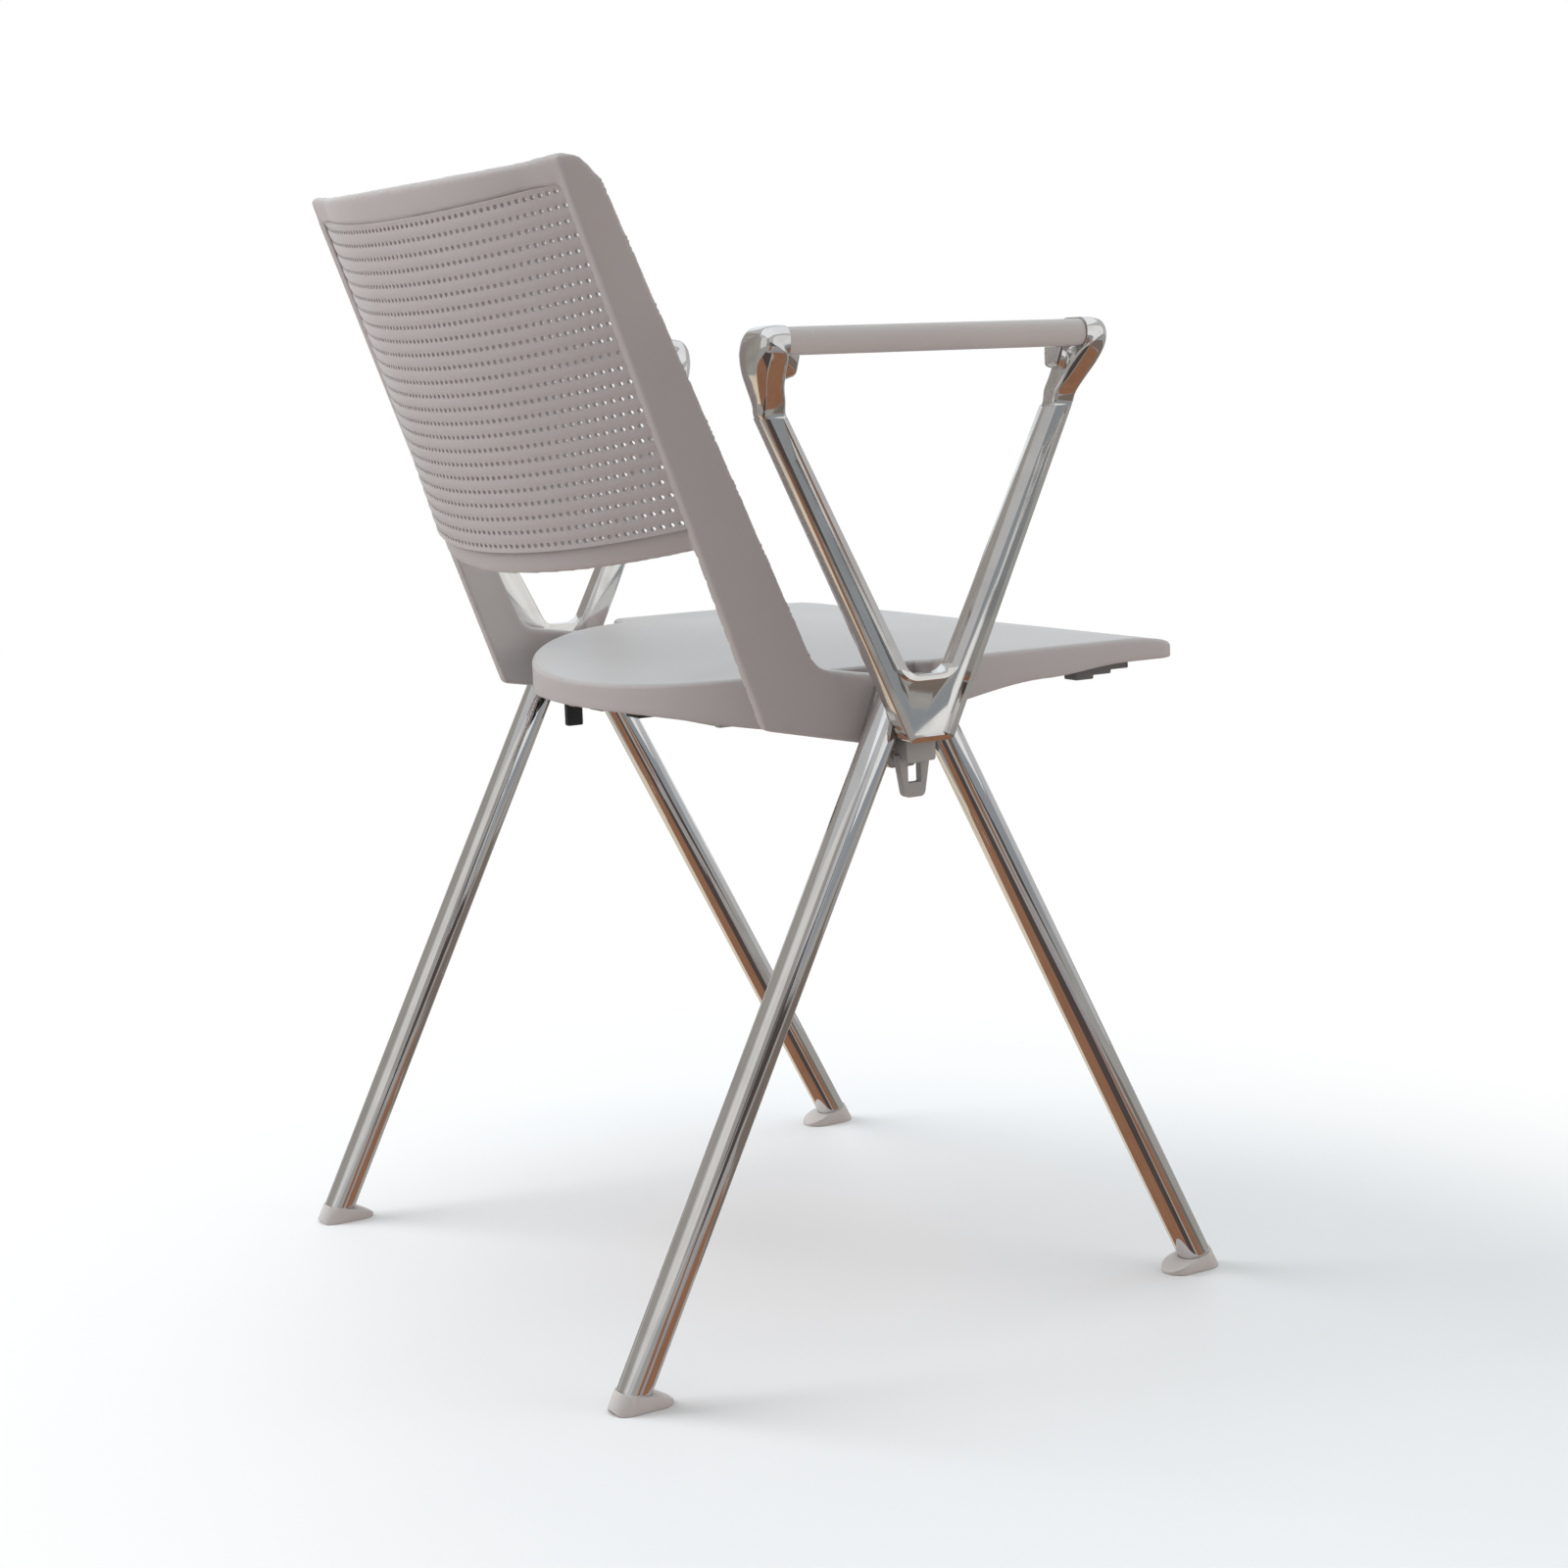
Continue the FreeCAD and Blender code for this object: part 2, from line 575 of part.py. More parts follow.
def link_plug():
    """Plug moulded round the bar's lug, with a peg that fits the next chair's loop."""
    lug_high = LEG_X + LINK_TIP_PAST_LEG
    low_x = lug_high - LINK_LUG_LENGTH - PLUG_WALL
    high_x = lug_high + PLUG_WALL
    top = LINK_BAR_BOTTOM_Z - PLUG_TOP_GAP
    bottom = LINK_BAR_BOTTOM_Z - LINK_LUG_DROP - PLUG_FLOOR
    body = side_prism(rounded_box_corners(0, PLUG_WIDTH / 2, bottom, top, PLUG_ROUND), low_x, high_x)
    slot_top = BLOCK_BOTTOM_Z - LOOP_SLOT_BELOW_BLOCK
    peg = side_prism(
        rounded_box_corners(
            0,
            LOOP_SLOT_WIDTH / 2 - PLUG_PEG_ROOM,
            slot_top - LOOP_SLOT_HEIGHT + PLUG_PEG_ROOM,
            min(slot_top - PLUG_PEG_ROOM, top),
            PLUG_PEG_ROOM,
        ),
        low_x + PLUG_WALL,
        high_x + PLUG_PEG_LENGTH,
    )
    half = LINK_BAR_WIDTH / 2 + PLUG_CLEARANCE
    lug_bottom = LINK_BAR_BOTTOM_Z - LINK_LUG_DROP
    pocket = box(
        (lug_high - LINK_LUG_LENGTH - PLUG_CLEARANCE, -half, lug_bottom - PLUG_CLEARANCE),
        (lug_high + PLUG_CLEARANCE, half, LINK_BAR_TOP_Z + PAST),
    )
    return body.fuse(peg).cut(pocket)


def link_guide(x):
    """Block under the cross tube that carries the link bar."""
    half = LINK_GUIDE_WIDTH / 2
    low = (x - LINK_GUIDE_LENGTH / 2, -half, LINK_BAR_BOTTOM_Z - LINK_GUIDE_CLEARANCE - LINK_GUIDE_FLOOR)
    high = (x + LINK_GUIDE_LENGTH / 2, half, CROSS_Z - CROSS_RADIUS + LINK_GUIDE_SADDLE)
    saddle = rod(Vector(x - PAST, 0, CROSS_Z), Vector(x + PAST, 0, CROSS_Z), CROSS_DIAMETER)
    return box(low, high).cut(saddle).cut(link_bar_room(x - PAST, x + PAST))


# Seat and its rails

def smooth_step(value):
    """Ease from 0 to 1."""
    t = min(max(value, 0.0), 1.0)
    return t * t * (3 - 2 * t)


def seat_top(x, y):
    """Height of the seat's upper face."""
    dish = SEAT_DISH * smooth_step((y - SEAT_DISH_START) / SEAT_DISH_LENGTH)
    past_start = max(SEAT_FALL_START - y, 0.0) / (SEAT_FALL_START + SEAT_FRONT)
    return SEAT_EDGE_Z - dish * (1 - (x / SEAT_HALF_WIDTH) ** 2) - SEAT_FALL * past_start ** 2


def seat_skirt(y):
    """Height of the skirt's lower edge, by the y where it runs."""
    stations = [
        (-SEAT_FRONT - SEAT_FRONT_BOW - PAST, SEAT_SKIRT_FRONT),
        (SEAT_FALL_START, SEAT_SKIRT_FRONT),
        (SEAT_MIDDLE_STATION, SEAT_SKIRT_MIDDLE),
        (0, SEAT_SKIRT_HUB),
        (SEAT_SIDE_STATION, SEAT_SKIRT_SIDE),
        (SEAT_REAR_Y, SEAT_SKIRT_REAR),
        (SEAT_REAR_Y + PAST, SEAT_SKIRT_REAR),
    ]
    for (low, low_drop), (high, high_drop) in zip(stations, stations[1:]):
        if y <= high:
            return SEAT_EDGE_Z - low_drop - (high_drop - low_drop) * smooth_step((y - low) / (high - low))
    return SEAT_EDGE_Z - SEAT_SKIRT_REAR


def height_face(height):
    """Smooth face over the whole seat at height(x, y)."""
    half = SEAT_HALF_WIDTH + PAST / 3
    front = -SEAT_FRONT - SEAT_FRONT_BOW - PAST / 3
    rear = SEAT_REAR_Y + PAST / 3
    grid = []
    for i in range(SEAT_GRID_COLUMNS):
        x = -half + 2 * half * i / (SEAT_GRID_COLUMNS - 1)
        line = []
        for j in range(SEAT_GRID_ROWS):
            y = front + (rear - front) * j / (SEAT_GRID_ROWS - 1)
            line.append(Vector(x, y, height(x, y)))
        grid.append(line)
    surface = Part.BSplineSurface()
    surface.interpolate(grid)
    return surface.toShape()


def seat_outline(inset):
    """Seat's outline seen from above, moved inwards by the inset, as a tall solid."""
    half = SEAT_HALF_WIDTH - inset
    front = -SEAT_FRONT + inset
    corner = SEAT_FRONT_CORNER
    rear_half = SEAT_REAR_HALF_WIDTH - inset
    rear_depth = SEAT_REAR_DEPTH - inset
    low = SEAT_EDGE_Z - 2 * PAST
    wide_end = -SEAT_WIDE_END - inset
    turn = math.asin((wide_end - SEAT_REAR_CENTRE) / rear_depth)
    right_front = Vector(-half + corner, front, low)
    left_front = Vector(half - corner, front, low)
    bow = Part.Arc(right_front, Vector(0, front - SEAT_FRONT_BOW, low), left_front).toShape()
    edges = [bow]
    for side in (-1, 1):
        start = Vector(side * (half - corner), front, low)
        end = Vector(side * half, front + corner, low)
        diagonal = corner * math.sqrt(0.5)
        middle = Vector(side * (half - corner + diagonal), front + corner - diagonal, low)
        hip = Vector(side * half, wide_end, low)
        waist = Vector(side * rear_half * math.cos(turn), wide_end, low)
        hip_start, hip_middle, hip_end = corner_arc(end, hip, waist, SEAT_HIP_ROUND)
        edges.append(Part.Arc(start, middle, end).toShape())
        edges.append(Part.LineSegment(end, hip_start).toShape())
        edges.append(Part.Arc(hip_start, hip_middle, hip_end).toShape())
        edges.append(Part.LineSegment(hip_end, waist).toShape())
    centre = Vector(0, SEAT_REAR_CENTRE, low)
    side_point = Vector(rear_half, SEAT_REAR_CENTRE, low)
    rear_point = Vector(0, SEAT_REAR_CENTRE + rear_depth, low)
    if rear_half > rear_depth:
        ellipse = Part.Ellipse(side_point, rear_point, centre)
        rear = Part.Arc(ellipse, turn, math.pi - turn).toShape()
    else:
        ellipse = Part.Ellipse(rear_point, side_point, centre)
        rear = Part.Arc(ellipse, turn - math.pi / 2, math.pi / 2 - turn).toShape()
    edges.append(rear)
    wire = Part.Wire(Part.__sortEdges__(edges))
    return Part.Face(wire).extrude(Vector(0, 0, 4 * PAST))


def seat_screw_places():
    """Where the seat's screws stand, for both rails."""
    span_front = -RAIL_FRONT + SEAT_SCREW_END_MARGIN
    span_rear = RAIL_REAR - SEAT_SCREW_END_MARGIN
    places = []
    for side in (-1, 1):
        for y in (span_front, (span_front + span_rear) / 2, span_rear):
            places.append((side * RAIL_X, y))
    return places


def seat_shell():
    """Dished seat with a skirt, hollow below, and bosses that stand on the rails."""
    deep = Vector(0, 0, -3 * PAST)
    below_top = height_face(seat_top).extrude(deep)
    below_skirt = height_face(lambda x, y: seat_skirt(y)).extrude(deep)
    below_ceiling = height_face(lambda x, y: seat_top(x, y) - SEAT_WALL).extrude(deep)
    outer = seat_outline(0).common(below_top).cut(below_skirt)
    hollow = seat_outline(SEAT_WALL).common(below_ceiling)
    shell = outer.cut(hollow)
    room = CROSS_RADIUS + SEAT_CROSS_CLEARANCE
    notch = box(
        (-SEAT_HALF_WIDTH - PAST, -room, CROSS_Z - 2 * PAST),
        (SEAT_HALF_WIDTH + PAST, room, CROSS_Z),
    )
    passage = rod(
        Vector(-SEAT_HALF_WIDTH - PAST, 0, CROSS_Z), Vector(SEAT_HALF_WIDTH + PAST, 0, CROSS_Z), 2 * room
    )
    shell = shell.cut(notch.fuse(passage))
    for x, y in seat_screw_places():
        top = seat_top(x, y) - SEAT_WALL / 2
        boss = rod(Vector(x, y, RAIL_TOP_Z), Vector(x, y, top), SEAT_BOSS_DIAMETER).common(below_top)
        shell = shell.fuse(boss)
    for x, y in seat_screw_places():
        thread_top = RAIL_TOP_Z + seat_screw_grip(x, y) + THREAD_END_GAP
        hole = rod(
            Vector(x, y, RAIL_TOP_Z - PAST),
            Vector(x, y, thread_top),
            SEAT_SCREW_DIAMETER + 2 * THREAD_CLEARANCE,
        )
        shell = shell.cut(hole)
    return shell


def seat_screw_grip(x, y):
    """Length of a screw inside its boss, kept below the seat's upper face."""
    return min(SEAT_SCREW_LENGTH, seat_top(x, y) - SEAT_WALL / 2 - RAIL_TOP_Z)


def seat_rail(side):
    """Strap across the tube, drilled for the seat's screws."""
    x = side * RAIL_X
    half = RAIL_WIDTH / 2
    strap = plan_prism(
        [
            (x - half, -RAIL_FRONT, RAIL_END_ROUND),
            (x + half, -RAIL_FRONT, RAIL_END_ROUND),
            (x + half, RAIL_REAR, RAIL_END_ROUND),
            (x - half, RAIL_REAR, RAIL_END_ROUND),
        ],
        RAIL_BOTTOM_Z,
        RAIL_TOP_Z,
    )
    for screw_x, y in seat_screw_places():
        hole = rod(
            Vector(screw_x, y, RAIL_BOTTOM_Z - PAST),
            Vector(screw_x, y, RAIL_TOP_Z + PAST),
            SEAT_SCREW_DIAMETER + 2 * HOLE_CLEARANCE,
        )
        strap = strap.cut(hole)
    return strap


def seat_screws():
    """Screws up through the rails into the seat's bosses."""
    screws = []
    for x, y in seat_screw_places():
        under = Vector(x, y, RAIL_BOTTOM_Z)
        head = rod(under - Vector(0, 0, SEAT_SCREW_HEAD_HEIGHT), under, SEAT_SCREW_HEAD_DIAMETER)
        tip = Vector(x, y, RAIL_TOP_Z + seat_screw_grip(x, y))
        screws.append(head.fuse(rod(under, tip, SEAT_SCREW_DIAMETER)))
    return screws


def stacking_bumper():
    """Stepped block that hangs from the seat's underside."""
    half = BUMPER_WIDTH / 2
    bottom = SEAT_EDGE_Z - BUMPER_BOTTOM_BELOW_EDGE
    steps = []
    for i in range(BUMPER_STEPS):
        front = -BUMPER_FRONT + BUMPER_STEP_LENGTH * i
        low = bottom + BUMPER_STEP_HEIGHT * (BUMPER_STEPS - 1 - i)
        step = box(
            (BUMPER_X - half, front, low),
            (BUMPER_X + half, front + BUMPER_STEP_LENGTH, SEAT_EDGE_Z),
        )
        steps.append(step)
    body = steps[0]
    for step in steps[1:]:
        body = body.fuse(step)
    ceiling = height_face(lambda x, y: seat_top(x, y) - SEAT_WALL - BUMPER_SEAT_GAP)
    return body.removeSplitter().common(ceiling.extrude(Vector(0, 0, -2 * PAST)))


# Back frame and panel

def back_place(along, behind):
    """(y, z) of a point so far up the blade's rear edge and so far behind it."""
    y = BLADE_FOOT_Y + along * LEAN_SIN + behind * LEAN_COS
    z = CROSS_Z + along * LEAN_COS - behind * LEAN_SIN
    return y, z


def blade():
    """L-shaped blade: a flared upright that leans back and a foot that reaches the hub."""
    taper = (BLADE_DEPTH_FOOT - BLADE_DEPTH_TOP) / BLADE_LENGTH
    knee_rise = FOOT_TOP_ABOVE_CROSS - BLADE_DEPTH_FOOT * LEAN_SIN
    knee_run = FOOT_TOP_SLOPE * (BLADE_FOOT_Y - BLADE_DEPTH_FOOT * LEAN_COS)
    knee_rate = LEAN_COS - taper * LEAN_SIN - FOOT_TOP_SLOPE * (LEAN_SIN + taper * LEAN_COS)
    knee_along = (knee_rise + knee_run) / knee_rate
    knee_y, knee_z = back_place(knee_along, -(BLADE_DEPTH_FOOT - taper * knee_along))
    foot_top = CROSS_Z + FOOT_TOP_ABOVE_CROSS - FOOT_TOP_SLOPE * FOOT_FRONT_END
    slant_end = BLADE_LENGTH - BLADE_TOP_SLANT
    slant_depth = BLADE_DEPTH_FOOT - taper * slant_end
    outline = [
        (*back_place(0, 0), BLADE_EDGE_ROUND),
        (*back_place(BLADE_LENGTH, 0), BLADE_REAR_ROUND),
        (*back_place(BLADE_LENGTH - BLADE_TOP_DROP, -BLADE_TOP_FLAT), BLADE_TOP_ROUND),
        (*back_place(slant_end, -slant_depth), BLADE_FRONT_ROUND),
        (knee_y, knee_z, BLADE_KNEE_ROUND),
        (-FOOT_FRONT_END, foot_top, FOOT_END_ROUND),
        (-FOOT_FRONT_END, CROSS_Z - FOOT_BOTTOM_BELOW_CROSS, FOOT_END_ROUND),
    ]
    outer_x = BLADE_INNER_X + BLADE_THICKNESS
    foot_outer_x = HUB_INNER_X
    side = side_prism(outline, BLADE_INNER_X - PAST, foot_outer_x + PAST)
    far_front = -BLADE_LENGTH
    band = [
        (outer_x - FLARE_RATE * PAST, PAST, 0),
        (foot_outer_x, -(foot_outer_x - outer_x) / FLARE_RATE, FOOT_BEND_ROUND),
        (foot_outer_x, far_front, 0),
        (FOOT_INNER_X, far_front, 0),
        (FOOT_INNER_X, -(FOOT_INNER_X - BLADE_INNER_X) / FLARE_RATE, FOOT_BEND_ROUND),
        (BLADE_INNER_X - FLARE_RATE * PAST, PAST, 0),
    ]
    flared = plan_prism(band, -BLADE_LENGTH, 2 * BLADE_LENGTH)
    flared.Placement = back_placement()
    body = side.common(flared)
    tube_room = rod(
        Vector(FOOT_INNER_X - PAST, 0, CROSS_Z),
        Vector(foot_outer_x + PAST, 0, CROSS_Z),
        CROSS_DIAMETER + 2 * HOLE_CLEARANCE,
    )
    shank_room = bolt_axis_hole(
        FOOT_INNER_X - PAST, foot_outer_x + PAST, SIDE_BOLT_DIAMETER + 2 * HOLE_CLEARANCE
    )
    head_room = bolt_axis_hole(
        FOOT_INNER_X - PAST,
        FOOT_INNER_X + SIDE_BOLT_HEAD_HEIGHT,
        SIDE_BOLT_HEAD_DIAMETER + 2 * HOLE_CLEARANCE,
    )
    return body.cut(tube_room).cut(shank_room).cut(head_room)


def back_placement():
    """Placement of the back's own frame: x across, y to the rear, z up along the blades."""
    return Placement(Vector(0, BLADE_FOOT_Y, CROSS_Z), Rotation(Vector(1, 0, 0), -BLADE_LEAN))


def back_bow(along):
    """How far behind the blades' rear edges the back bows at this length up it."""
    share = (along - BOTTOM_RAIL_START) / (BLADE_LENGTH - BOTTOM_RAIL_START)
    return BACK_BOW_FOOT + (BACK_BOW_TOP - BACK_BOW_FOOT) * share


def bow_section(along, setback, thickness, half_width):
    """Bowed strip across the back at one length up it, as a closed wire."""
    sagitta = back_bow(along) + BACK_EDGE_RECESS
    radius = (PANEL_HALF_WIDTH ** 2 + sagitta ** 2) / (2 * sagitta)
    centre = back_bow(along) - radius

    def bow_arc(arc_radius):
        edge = centre + math.sqrt(arc_radius ** 2 - half_width ** 2)
        return [
            Vector(-half_width, edge, along),
            Vector(0, centre + arc_radius, along),
            Vector(half_width, edge, along),
        ]

    rear = bow_arc(radius - setback)
    front = bow_arc(radius - setback - thickness)
    return Part.Wire(
        [
            Part.Arc(*rear).toShape(),
            Part.LineSegment(rear[2], front[2]).toShape(),
            Part.Arc(front[2], front[1], front[0]).toShape(),
            Part.LineSegment(front[0], rear[0]).toShape(),
        ]
    )


def bowed_band(low, high, setback, thickness, half_width):
    """Bowed band between two lengths up the back."""
    sections = [bow_section(along, setback, thickness, half_width) for along in (low, high)]
    band = Part.makeLoft(sections, True, True)
    band.Placement = back_placement()
    return band


def crown_cutter():
    """Large drum along the back's normal, whose top is the arched top edge."""
    half = BLADE_INNER_X + BLADE_THICKNESS
    radius = (half ** 2 + TOP_RAIL_CROWN ** 2) / (2 * TOP_RAIL_CROWN)
    start = Vector(0, -BLADE_LENGTH, TOP_RAIL_CREST - radius)
    drum = Part.makeCylinder(radius, 2 * BLADE_LENGTH, start, Vector(0, 1, 0))
    drum.Placement = back_placement().multiply(drum.Placement)
    return drum


def back_frame():
    """Both blades with the top and bottom rail between them."""
    reach = PANEL_HALF_WIDTH + RAIL_INTO_BLADE
    top = bowed_band(
        BLADE_LENGTH - TOP_RAIL_HEIGHT, BLADE_LENGTH + 2 * TOP_RAIL_CROWN, 0, TOP_RAIL_THICKNESS, reach
    ).common(crown_cutter())
    bottom = bowed_band(
        BOTTOM_RAIL_START, BOTTOM_RAIL_START + BOTTOM_RAIL_HEIGHT, 0, BOTTOM_RAIL_THICKNESS, reach
    )
    left = blade()
    return left.fuse(mirrored(left)).fuse(top).fuse(bottom)


def back_panel():
    """Bowed panel between the rails, which carries the perforations."""
    return bowed_band(
        BOTTOM_RAIL_START + BOTTOM_RAIL_HEIGHT + PANEL_CLEARANCE,
        BLADE_LENGTH - TOP_RAIL_HEIGHT - PANEL_CLEARANCE,
        PANEL_SETBACK,
        PANEL_THICKNESS,
        PANEL_HALF_WIDTH - PANEL_CLEARANCE,
    )


# Arms

def arm_y(distance):
    """y of a point so far behind the middle of the arm."""
    return ARM_MIDDLE_Y + distance


def arm_v_corners(inset):
    """Corners of the V's outline, moved inwards by the inset."""
    base = ARM_BASE_Z + inset
    notch = ARM_BASE_Z + ARM_NOTCH_RISE - inset
    neck_rise = ARM_NECK_Z - ARM_BASE_Z
    slant = math.hypot(neck_rise, ARM_NECK_OUTER - ARM_BASE_HALF_WIDTH) / neck_rise
    side = inset * slant
    half = [
        (ARM_BASE_HALF_WIDTH - side, base, max(ARM_BASE_ROUND - inset, ARM_RECESS_CORNER)),
        (ARM_NECK_OUTER - side, ARM_NECK_Z, 0),
        (ARM_NECK_INNER + side, ARM_NECK_Z, 0),
        (ARM_NOTCH_HALF_WIDTH + side, notch, ARM_NOTCH_ROUND + inset),
    ]
    rear = [(arm_y(y), z, r) for y, z, r in half]
    front = [(arm_y(-y), z, r) for y, z, r in reversed(half)]
    return rear + front


def elbow_section(inner, outer, x_low, x_high):
    """Closed wire of one elbow station: a rectangle with its corners cut off."""
    corners = [
        Vector(x_low, *inner),
        Vector(x_high, *inner),
        Vector(x_high, *outer),
        Vector(x_low, *outer),
    ]
    cut = ELBOW_CORNER_SHARE * min((corners[1] - corners[0]).Length, (corners[2] - corners[1]).Length)
    points = []
    for i, corner in enumerate(corners):
        before = corners[i - 1]
        after = corners[(i + 1) % len(corners)]
        points.append(corner + (before - corner).normalize() * cut)
        points.append(corner + (after - corner).normalize() * cut)
    return Part.makePolygon(points + points[:1])


def arm_elbow():
    """Elbow at the rear end of the arm, from the V's limb round into the cup."""
    cup_half = PAD_WIDTH / 2 + CUP_OVER_PAD
    cup_rise = PAD_THICKNESS / 2 + CUP_OVER_PAD
    crest = CUP_INNER + ELBOW_CREST_PAST_PAD
    sections = [
        elbow_section(
            (ARM_NECK_INNER, ARM_NECK_Z), (ARM_NECK_OUTER, ARM_NECK_Z), ARM_FACE_X, ARM_FACE_X + ARM_DEPTH
        )
    ]
    for (inner_past, inner_drop), (outer_past, outer_drop), (face_in, face_out) in ELBOW_STATIONS:
        inner = (CUP_INNER + inner_past, PAD_Z - inner_drop)
        outer = (CUP_INNER + outer_past, PAD_Z - outer_drop)
        sections.append(elbow_section(inner, outer, PAD_X + face_in, PAD_X + face_out))
    under = (CUP_INNER - PAD_END_GAP, PAD_Z - cup_rise)
    sections.append(elbow_section(under, (crest, PAD_Z + cup_rise), PAD_X - cup_half, PAD_X + cup_half))
    mouth = (CUP_INNER, PAD_Z - cup_rise)
    sections.append(
        elbow_section(mouth, (CUP_INNER, PAD_Z + cup_rise), PAD_X - cup_half, PAD_X + cup_half)
    )
    return Part.makeLoft(sections, True, True)


def arm_head(side):
    """Elbow with its cup and screw boss: side 1 is the rear, -1 the front."""
    under_pad = PAD_Z - PAD_THICKNESS / 2 - BOSS_GAP
    boss_x = PAD_X + BOSS_X_FROM_PAD
    boss = side_prism(
        [
            (CUP_INNER + BOSS_ROOT, under_pad, 0),
            (CUP_INNER - BOSS_REACH, under_pad, 0),
            (CUP_INNER - BOSS_REACH, under_pad - BOSS_TIP_DROP, BOSS_CORNER),
            (CUP_INNER + BOSS_ROOT, under_pad - BOSS_DROP, 0),
        ],
        boss_x - BOSS_WIDTH / 2,
        boss_x + BOSS_WIDTH / 2,
    )
    spigot_half = PAD_WIDTH / 2 - PAD_SPIGOT_INSET + CUP_SOCKET_CLEARANCE
    spigot_low = PAD_Z - PAD_THICKNESS / 2 + PAD_SPIGOT_INSET - CUP_SOCKET_CLEARANCE
    spigot_high = PAD_Z + PAD_THICKNESS / 2 - PAD_SPIGOT_INSET + CUP_SOCKET_CLEARANCE
    socket = end_prism(
        rounded_box_corners(PAD_X, spigot_half, spigot_low, spigot_high, PAD_ROUND - PAD_SPIGOT_INSET),
        CUP_INNER - PAST,
        PAD_HALF_LENGTH + PAD_SPIGOT + PAD_END_GAP,
    )
    seat = Vector(boss_x, pad_screw_place(), pad_screw_seat())
    above = Vector(0, 0, PAD_Z - seat.z)
    screw_hole = rod(seat, seat + above, PAD_SCREW_DIAMETER + 2 * HOLE_CLEARANCE)
    head_hole = rod(seat - Vector(0, 0, PAST), seat, PAD_SCREW_HEAD_DIAMETER + 2 * HOLE_CLEARANCE)
    head = arm_elbow().fuse(boss).cut(socket).cut(screw_hole).cut(head_hole)
    if side < 0:
        head = head.mirror(Vector(0, 0, 0), Vector(0, 1, 0))
    head.translate(Vector(0, ARM_MIDDLE_Y, 0))
    return head


def arm_casting():
    """V with a recessed outer face and a head at each end."""
    outer_x = ARM_FACE_X + ARM_DEPTH
    v_body = side_prism(arm_v_corners(0), ARM_FACE_X, outer_x)
    recess = side_prism(arm_v_corners(ARM_RIM), outer_x - ARM_RECESS, outer_x + PAST)
    threads = bolt_axis_hole(
        ARM_FACE_X - PAST,
        ARM_FACE_X + SIDE_BOLT_DEPTH + THREAD_END_GAP,
        SIDE_BOLT_DIAMETER + 2 * THREAD_CLEARANCE,
    )
    return v_body.cut(recess).fuse(arm_head(1)).fuse(arm_head(-1)).cut(threads)


def arm_pad():
    """Grey bar with a spigot at each end."""
    bottom = PAD_Z - PAD_THICKNESS / 2
    top = PAD_Z + PAD_THICKNESS / 2
    bar = end_prism(
        rounded_box_corners(PAD_X, PAD_WIDTH / 2, bottom, top, PAD_ROUND),
        arm_y(-PAD_HALF_LENGTH),
        arm_y(PAD_HALF_LENGTH),
    )
    spigots = end_prism(
        rounded_box_corners(
            PAD_X,
            PAD_WIDTH / 2 - PAD_SPIGOT_INSET,
            bottom + PAD_SPIGOT_INSET,
            top - PAD_SPIGOT_INSET,
            PAD_ROUND - PAD_SPIGOT_INSET,
        ),
        arm_y(-PAD_HALF_LENGTH - PAD_SPIGOT),
        arm_y(PAD_HALF_LENGTH + PAD_SPIGOT),
    )
    pad = bar.fuse(spigots)
    for side in (-1, 1):
        y = pad_screw_y(side)
        hole = rod(
            Vector(PAD_X + BOSS_X_FROM_PAD, y, bottom - PAST),
            Vector(PAD_X + BOSS_X_FROM_PAD, y, pad_screw_tip() + THREAD_END_GAP),
            PAD_SCREW_DIAMETER + 2 * THREAD_CLEARANCE,
        )
        pad = pad.cut(hole)
    return pad


def pad_screw_place():
    """How far a pad screw stands from the middle of the arm."""
    return CUP_INNER - BOSS_REACH / 2


def pad_screw_y(side):
    """Where a pad screw stands: side 1 is the rear, -1 the front."""
    return arm_y(side * pad_screw_place())


def pad_screw_seat():
    """Height of the face in the boss that a pad screw's head bears on."""
    return PAD_Z - PAD_THICKNESS / 2 - BOSS_GAP - BOSS_TIP_DROP + PAD_SCREW_HEAD_SUNK


def pad_screw_tip():
    """Height that a pad screw reaches inside the pad."""
    return pad_screw_seat() + PAD_SCREW_LENGTH


def pad_screws():
    """The two screws of one pad."""
    screws = []
    for side in (-1, 1):
        y = pad_screw_y(side)
        under = Vector(PAD_X + BOSS_X_FROM_PAD, y, pad_screw_seat())
        head = rod(under - Vector(0, 0, PAD_SCREW_HEAD_HEIGHT), under, PAD_SCREW_HEAD_DIAMETER)
        shank = rod(under, under + Vector(0, 0, PAD_SCREW_LENGTH), PAD_SCREW_DIAMETER)
        screws.append(head.fuse(shank))
    return screws


# The assembly

def both_sides(name, shape):
    """The piece and its mirror image, under names for the sitter's left and right."""
    return {name + "_left": shape, name + "_right": mirrored(shape)}


def group(left_shapes):
    """A node of separate solids: those of the left side and their mirror images."""
    return Part.makeCompound(left_shapes + [mirrored(shape) for shape in left_shapes])


